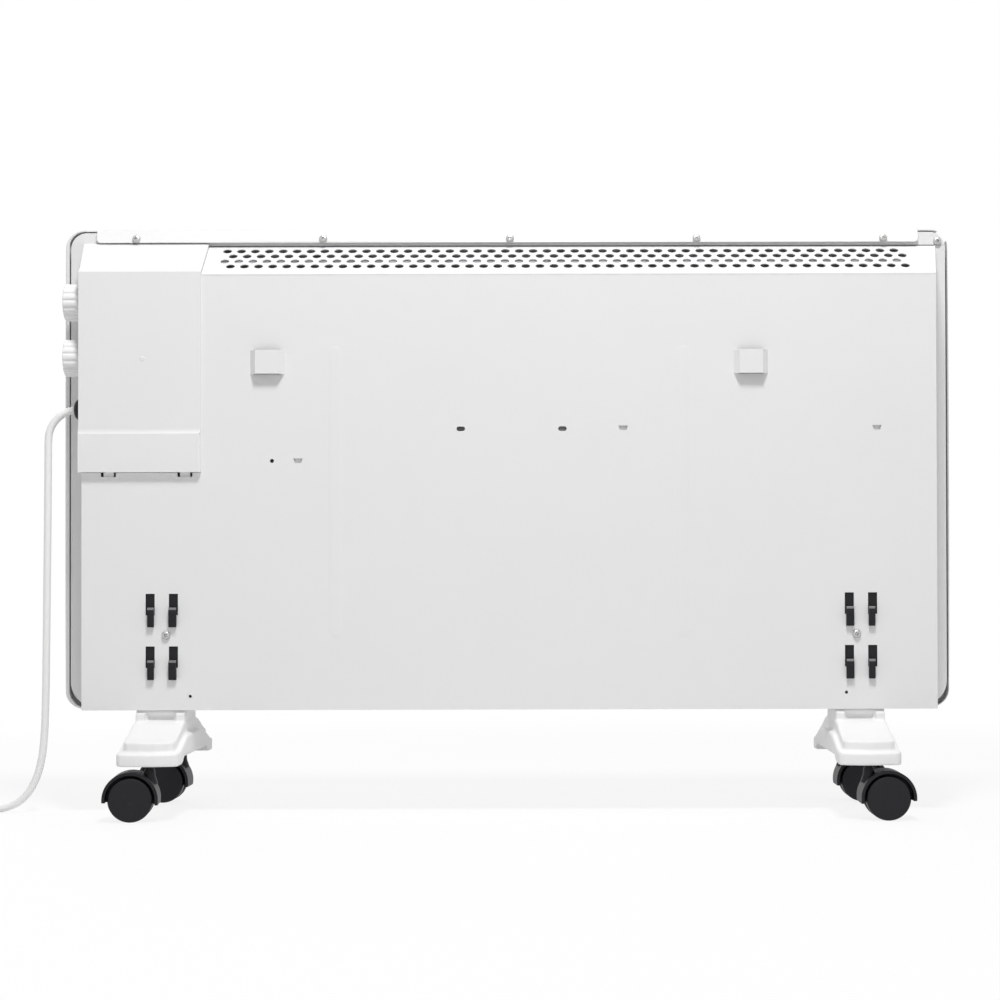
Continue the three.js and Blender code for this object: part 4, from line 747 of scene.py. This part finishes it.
class HEATER_OT_screws(bpy.types.Operator):
    """The rail's five screws, the corner screw and the two clip screws"""
    bl_idname = "heater.screws"
    bl_label = "Screws"

    def execute(self, context):
        head = sizes().screw_head / MM
        small = cross_screw(head, SCREW_HEIGHT, 1.2)
        large = cross_screw(CLIP_SCREW_HEAD, SCREW_HEIGHT, 4)
        x, y, z = RAIL_SCREW
        places = [(small, f"rail_screw_{i + 1}", (x - RAIL_SCREW_STEP * i, y, z), RAIL_LEAN)
                  for i in range(5)]
        places += [(small, "corner_screw", (-403.1, -17.7, 529.2), 0),
                   (large, "clip_screw_left", (310.3, 32.3, 163), 0),
                   (large, "clip_screw_right", (-319.7, 32.3, 163), 0)]
        for number, (kind, node, place, tilt) in enumerate(places):
            screw = own_copy(kind, node + "_head")
            screw.rotation_euler.z = math.radians(17 + 37 * number)
            fix_place(screw)
            screw.rotation_euler.x = tilt - math.pi / 2
            screw.location = Vector(place) * MM
            settle(screw, node + "_head", "plated_screw", "heater", [node], 40)
        for kind in (small, large):
            bpy.data.objects.remove(kind)
        return {"FINISHED"}


KNOB_LENGTH = 22.5                    # from its seat on the case, in mm
KNOB_SEAT = (384, 10)                 # x of the seat, and y of the shafts
KNOBS = (("thermostat", 469.2, -0.27), ("selector", 418, -0.12))   # height, and turn at rest
# a groove in three steps: the share of the pitch on each side of its middle, and how much
# deeper each goes in mm
GROOVE = ((0.27, 0.12), (0.14, 0.33), (0.02, 0.75))


def fluted_knob(diameter, grooves):
    """A knob along +Z from its seat, with narrow grooves and a pointer mark."""
    r, length = diameter / 2, KNOB_LENGTH
    profile = [(3.3, 17.2), (3.3, 0), (r - 0.7, 0), (r, 0.7), (r, 10)]
    profile += quarter(r, length, 1.3, 4) + [(r - 4.4, length), (r - 5.2, length - 0.7),
                                           (2, length - 0.9)]
    knob = turned(profile, grooves * 8)
    hold(knob, "EDIT")
    pitch = 2 * math.pi / grooves

    def in_groove(v, reach):
        share = (math.atan2(v.y, v.x) / pitch) % 1
        return math.hypot(v.x, v.y) > r - 3.2 and min(share, 1 - share) < reach

    for reach, depth in GROOVE:
        pick(knob, lambda v: in_groove(v, reach))
        share = (r - depth) / r
        bpy.ops.transform.resize(value=(share, share, 1), center_override=(0, 0, 0))
    leave_all()
    cut(knob, block((-0.8, 4, length - 1.6), (0.8, r - 3.4, length + 1)))
    return knob


class HEATER_OT_knobs(bpy.types.Operator):
    """The two fluted knobs on the case's side"""
    bl_idname = "heater.knobs"
    bl_label = "Knobs"

    def execute(self, context):
        pattern = fluted_knob(sizes().knob_diameter / MM, sizes().knob_grooves)
        for name, height, turn in KNOBS:
            knob = own_copy(pattern, name + "_grip")
            knob.rotation_euler.z = math.pi + turn
            fix_place(knob)
            knob.rotation_euler = (0, math.pi / 2, 0)
            knob.location = Vector((*KNOB_SEAT, height)) * MM
            settle(knob, name + "_grip", "white_moulded_plastic", name + "_dial",
                   [name + "_knob"], 24)
        bpy.data.objects.remove(pattern)
        return {"FINISHED"}


class HEATER_OT_gland(bpy.types.Operator):
    """The black outlet that the cord comes through"""
    bl_idname = "heater.gland"
    bl_label = "Cord outlet"

    def execute(self, context):
        gland = turned([(3.7, 381.9), (8.36, 381.9), (8.36, 385.3), (6.16, 385.3), (6.16, 392.5),
                        (9.5, 392.5), (9.5, 394.3), (9.2, 395.4), (8.4, 396.5), (7.2, 397.5),
                        (5.6, 398.1), (4.4, 398.1), (3.8, 397.6), (3.7, 396.8)], 48, ring=True)
        gland.rotation_euler.y = math.pi / 2
        gland.location = (0, CORD_Y, GLAND_Z * MM)
        settle(gland, "cord_outlet", "black_nylon", "heater", ["cable_gland"], 38)
        return {"FINISHED"}


HOOK_SHOULDERS = (188.4, 140.4)       # heights of the hooks' upper edges, in mm
SHOULDER_FALL, SHOULDER_BACK = 1.7, 0.6   # the shoulders' bevel, down and inwards


class HEATER_OT_clips(bpy.types.Operator):
    """The two black clips whose hooks stand out through the rear sheet"""
    bl_idname = "heater.clips"
    bl_label = "Foot clips"

    def execute(self, context):
        for side in ("left", "right"):
            clip = from_node("foot_clip_" + side, "clip_" + side)
            hold(clip, "EDIT")
            for shoulder in HOOK_SHOULDERS:
                pick(clip, lambda v: v.y > 36.4 and abs(v.z - shoulder + 0.5) < 0.1)
                bpy.ops.transform.translate(value=(0, 0, -SHOULDER_FALL * MM))
                pick(clip, lambda v: v.y > 35.9 and abs(v.z - shoulder) < 0.1)
                bpy.ops.transform.translate(value=(0, -SHOULDER_BACK * MM, 0))
            leave_all()
            soft_edges(clip, 0.15 * MM, 1, 40)
            settle(clip, "clip_" + side, "black_nylon", "heater",
                   ["foot_clip_" + side], 35)
            # the upward-facing shoulder bevels take the grey copy: a painted highlight of the
            # lamp's reflection
            clip.data.materials.append(finish("clip_shoulder_painted_highlight"))
            for face in clip.data.polygons:
                centre = face.center / MM
                lit = any(s - 1.9 < centre.z < s - 0.3 for s in HOOK_SHOULDERS)
                if lit and face.normal.y > 0.5 and face.normal.z > 0.2:
                    face.material_index = 1
        return {"FINISHED"}


FOOT_MIDDLE = {"left": 315.5, "right": -322.5}
FOOT_CORNER = 5                       # radius of the tiers' upright corners, in mm
VOXEL = 0.9                           # of the remesh that rounds the feet
LUG_X, LUG_WIDTH = (-22.3, 13.9), 8.2     # the two lugs, from a foot's middle


def round_corners(foot, middle):
    """Rounds the upright corners at the ends of a foot's two tiers."""
    hold(foot, "EDIT")
    bpy.ops.mesh.select_mode(type="EDGE")
    bpy.ops.mesh.select_all(action="DESELECT")
    mesh = bmesh.from_edit_mesh(foot.data)
    for edge in mesh.edges:
        a, b = (v.co / MM for v in edge.verts)
        upright = abs(a.x - b.x) < 0.6 and abs(a.y - b.y) < 0.6 and abs(a.z - b.z) > 4
        if upright and abs(a.x - middle) > 20 and abs(a.y) > 86:
            edge.select_set(True)
    bmesh.update_edit_mesh(foot.data)
    bpy.ops.mesh.bevel(offset=FOOT_CORNER * MM, segments=5)
    bpy.ops.mesh.select_mode(type="VERT")
    bpy.ops.mesh.select_all(action="SELECT")
    bpy.ops.mesh.normals_make_consistent(inside=False)
    leave_all()


class HEATER_OT_feet(bpy.types.Operator):
    """The two moulded feet, with round edges"""
    bl_idname = "heater.feet"
    bl_label = "Feet"

    def execute(self, context):
        for side, middle in FOOT_MIDDLE.items():
            foot = from_node("foot_" + side, "moulding_" + side)
            round_corners(foot, middle)
            apply_modifier(foot, "REMESH", mode="VOXEL", voxel_size=VOXEL * MM)
            for x in LUG_X:
                low = middle + x
                cut(foot, block((low, 28, 84), (low + LUG_WIDTH, 35.5, 92)), "UNION")
            apply_modifier(foot, "REMESH", mode="VOXEL", voxel_size=VOXEL * MM)
            apply_modifier(foot, "SMOOTH", factor=0.5, iterations=5)
            apply_modifier(foot, "DECIMATE", ratio=0.28)
            settle(foot, "foot_moulding_" + side, "white_moulded_plastic", "heater",
                   ["foot_" + side], 60, flat_faces=False)
        return {"FINISHED"}


AXLE_Z = 19.754                       # in mm, as all of these
TRAIL = 16                            # from a stem's axis to its axle
STEM_Y = 87                           # the stems' places along a foot
HOOD_OUTER, HOOD_INNER = 24.6, 21.9   # radii of the hood round its wheels
HOOD_SIDE = 16.4                      # half its width
WEB_SIDE = 3.9                        # half the web between the wheels
WHEEL_GAP = 4.4                       # from the caster's middle to a wheel's inner face
WHEEL_WIDTH = 11.2
# x and y of the stem, and the caster's turn at rest in degrees
CASTER_PLACES = {"rear_left": (FOOT_MIDDLE["left"], STEM_Y, 5),
                 "front_left": (FOOT_MIDDLE["left"], -STEM_Y, 0),
                 "rear_right": (FOOT_MIDDLE["right"], STEM_Y, 180),
                 "front_right": (FOOT_MIDDLE["right"], -STEM_Y, 180)}


def hood_pattern():
    """A twin caster's hood on its stem, with the wheels trailing to +X."""
    axle = (TRAIL, 0, AXLE_Z)
    hood = rod(HOOD_OUTER, -HOOD_SIDE, HOOD_SIDE, 96, "Y", axle)
    hold(hood, "EDIT")
    bpy.ops.mesh.bisect(plane_co=(TRAIL * MM, 0, (AXLE_Z - 3.4) * MM), plane_no=(-0.05, 0, 1),
                        use_fill=True, clear_inner=True)
    leave_all()
    for side in (-1, 1):
        low, high = sorted((side * WEB_SIDE, side * 20))
        cut(hood, rod(HOOD_INNER, low, high, 96, "Y", axle))
    cut(hood, rod(7.5, -WEB_SIDE, WEB_SIDE, 32, "Y", axle), "UNION")
    boss = turned([(7.5, 33), (6.3, 37), (5.2, 40), (4.9, 44.6), (4.3, 46.2)], 40)
    cut(hood, boss, "UNION")
    cut(hood, rod(4, 44, 64, 24), "UNION")
    cut(hood, rod(2.8, -30, 30, 24, "Y", axle))
    return soft_edges(tidy_mesh(hood, 0.3), 0.7 * MM, 3, 40)


def wheel_pattern(diameter):
    """A closed wheel along +Z from its inner face, with a blind bore for the axle."""
    r, wide = diameter / 2, WHEEL_WIDTH
    profile = [(2.8, 10.4), (2.8, 0), (r - 1.6, 0), (r - 0.5, 0.4), (r, 1.3)]
    profile += quarter(r, wide - 0.3, 2.2, 6)
    profile += [(r - 2.7, wide - 0.42), (r - 3.0, wide - 0.42), (r - 3.4, wide - 0.2),
                (r * 0.6, wide - 0.06), (r * 0.3, wide), (1, wide)]
    return turned(profile, 96)


class HEATER_OT_casters(bpy.types.Operator):
    """The four twin-wheel casters: hoods and wheels"""
    bl_idname = "heater.casters"
    bl_label = "Casters"

    def execute(self, context):
        hood, wheel = hood_pattern(), wheel_pattern(sizes().wheel_diameter / MM)
        for tag, (x, y, yaw) in CASTER_PLACES.items():
            stand = Matrix.Translation(Vector((x, y, 0)) * MM)
            stand = stand @ Matrix.Rotation(math.radians(yaw), 4, "Z")
            body = "caster_" + tag
            one = own_copy(hood, body + "_cover")
            one.matrix_world = stand
            settle(one, body + "_cover", "black_nylon", body,
                   [body + "_hood"], 35)
            for letter, side in (("a", 1), ("b", -1)):
                disc = own_copy(wheel, body + "_disc_" + letter)
                turn = Matrix.Rotation(-side * math.pi / 2, 4, "X")
                place = Matrix.Translation(Vector((TRAIL, side * WHEEL_GAP, AXLE_Z)) * MM)
                disc.matrix_world = stand @ place @ turn
                node = f"{body}_wheel_{letter}"
                settle(disc, body + "_disc_" + letter, "black_nylon", node,
                       [node], 30)
        for pattern in (hood, wheel):
            bpy.data.objects.remove(pattern)
        return {"FINISHED"}


# ---- the studio -----------------------------------------------------------------------
CAMERA_PLACE = Vector((-0.0438, 2.10535, 0.21736))
CAMERA_YAW, CAMERA_PITCH, CAMERA_ROLL = -0.1646, 0.7498, -0.1223     # degrees
CAMERA_FOCUS = 2.27154                # focal length over the frame's width
CAMERA_CENTRE = (0.56075, 0.54519)    # where the axis meets the frame, from its top left
SENSOR = 36                           # mm
FLOOR_FADE = (0.25, 2.2)              # squared distances in metres between which it whitens
FLOOR_WHITE = 0.84                    # how much of the near floor's look is plain white
WORLD_LIGHT = 0.37
# name, place, what it shines at, width in metres and power in watts
LAMPS = (("key_softbox", (-0.12, 0.98, 2.16), (0, 0.02, 0.33), 0.45, 36),
         ("front_fill", (0.9, -2.1, 1.5), (0, 0, 0.3), 1.2, 14))


def camera_axes():
    """The camera's right, up and forward directions."""
    yaw, pitch, roll = (math.radians(a) for a in (CAMERA_YAW, CAMERA_PITCH, CAMERA_ROLL))
    forward = Vector((math.sin(yaw) * math.cos(pitch), -math.cos(yaw) * math.cos(pitch),
                      math.sin(pitch)))
    right = forward.cross(Vector((0, 0, 1))).normalized()
    up = right.cross(forward)
    return (right * math.cos(roll) + up * math.sin(roll),
            up * math.cos(roll) - right * math.sin(roll), forward)


def make_camera(scene):
    """The camera where the photograph was taken, with the photograph's frame."""
    leave_all()
    bpy.ops.object.camera_add(location=CAMERA_PLACE)
    camera = bpy.context.object
    camera.name = "studio_camera"
    right, up, forward = camera_axes()
    camera.rotation_euler = Matrix((right, up, -forward)).transposed().to_euler()
    camera.data.sensor_width = SENSOR
    camera.data.lens = SENSOR * CAMERA_FOCUS
    camera.data.shift_x = 0.5 - CAMERA_CENTRE[0]
    camera.data.shift_y = CAMERA_CENTRE[1] - 0.5
    camera.data.clip_end = 50
    scene.camera = camera


def background_mask(shader):
    """1 for what the camera, a mirror or glass sees, and 0 for what lights the object."""
    camera, glossy, through = shader.node("ShaderNodeLightPath", outputs=(
        "Is Camera Ray", "Is Glossy Ray", "Is Transmission Ray"))
    return (camera + glossy + through).clamp()


def make_floor():
    """A pale floor that keeps the object's shadow and is white further off."""
    leave_all()
    bpy.ops.mesh.primitive_plane_add(size=24, location=(0, 0, 0))
    floor = bpy.context.object
    floor.name = "studio_floor"
    s = material_shader("studio_floor_white")
    x, y = s.node("ShaderNodeSeparateXYZ", None, {0: s.place()})[:2]
    far = (x * x + y * y).smooth(*FLOOR_FADE)
    base = colours().floor
    colour = s.blend(s.noise(0.01, 3.0), lighter(base, -0.005), lighter(base, 0.005))
    lit = s.node("ShaderNodeBsdfPrincipled", None, {"Base Color": colour, "Roughness": 0.8})[0]
    white = s.node("ShaderNodeEmission", None, {"Color": (1, 1, 1, 1), "Strength": 1.0})[0]
    seen = background_mask(s) * (FLOOR_WHITE + far * (1 - FLOOR_WHITE))
    floor.data.materials.append(
        s.show(s.node("ShaderNodeMixShader", None, {0: seen, 1: lit, 2: white})[0]))


def make_world(scene):
    """Soft even light, behind which the camera sees plain white."""
    scene.world = bpy.data.worlds.new("studio_white")
    s = Shader(scene.world)
    soft, white = (s.node("ShaderNodeBackground", None,
                          {"Color": (1, 1, 1, 1), "Strength": strength})[0]
                   for strength in (WORLD_LIGHT, 1.0))
    mixed = s.node("ShaderNodeMixShader", None, {0: background_mask(s), 1: soft, 2: white})[0]
    s.show(mixed, "ShaderNodeOutputWorld")


def soft_lamp(name, place, target, size, power):
    """A round soft lamp that shines at a point."""
    leave_all()
    bpy.ops.object.light_add(type="AREA", location=place)
    lamp = bpy.context.object
    lamp.name = name
    lamp.data.shape = "DISK"
    lamp.data.size = size
    lamp.data.energy = power
    towards = Vector(target) - lamp.location
    lamp.rotation_euler = towards.to_track_quat("-Z", "Y").to_euler()


class HEATER_OT_stage(bpy.types.Operator):
    """Camera, floor, backdrop colour and soft studio light"""
    bl_idname = "heater.stage"
    bl_label = "Studio"

    def execute(self, context):
        context.scene.view_settings.view_transform = "Standard"
        make_camera(context.scene)
        make_floor()
        make_world(context.scene)
        for lamp in LAMPS:
            soft_lamp(*lamp)
        return {"FINISHED"}


class HEATER_PT_panel(bpy.types.Panel):
    """Lists the heater's pieces and their settings"""
    bl_label = "Panel heater"
    bl_idname = "HEATER_PT_panel"
    bl_space_type = "VIEW_3D"
    bl_region_type = "UI"
    bl_category = "Heater"

    def draw(self, context):
        for group in (context.scene.heater_sizes, context.scene.heater_colours):
            for name in group.__annotations__:
                self.layout.prop(group, name)
        for operator in OPERATORS:
            self.layout.operator(operator.bl_idname)


OPERATORS = (HEATER_OT_stage, HEATER_OT_cord, HEATER_OT_plug, HEATER_OT_finishes,
             HEATER_OT_sheets, HEATER_OT_outlet, HEATER_OT_screws, HEATER_OT_knobs,
             HEATER_OT_gland, HEATER_OT_clips, HEATER_OT_feet, HEATER_OT_casters)
CLASSES = (HeaterSizes, HeaterColours) + OPERATORS + (HEATER_PT_panel,)


def register():
    for one in CLASSES:
        bpy.utils.register_class(one)
    bpy.types.Scene.heater_sizes = bpy.props.PointerProperty(type=HeaterSizes)
    bpy.types.Scene.heater_colours = bpy.props.PointerProperty(type=HeaterColours)


def unregister():
    del bpy.types.Scene.heater_colours
    del bpy.types.Scene.heater_sizes
    for one in reversed(CLASSES):
        bpy.utils.unregister_class(one)


def main():
    """Makes every piece in order."""
    register()
    leave_all()
    for operator in OPERATORS:
        group, name = operator.bl_idname.split(".")
        getattr(getattr(bpy.ops, group), name)()


if __name__ == "__main__":
    main()
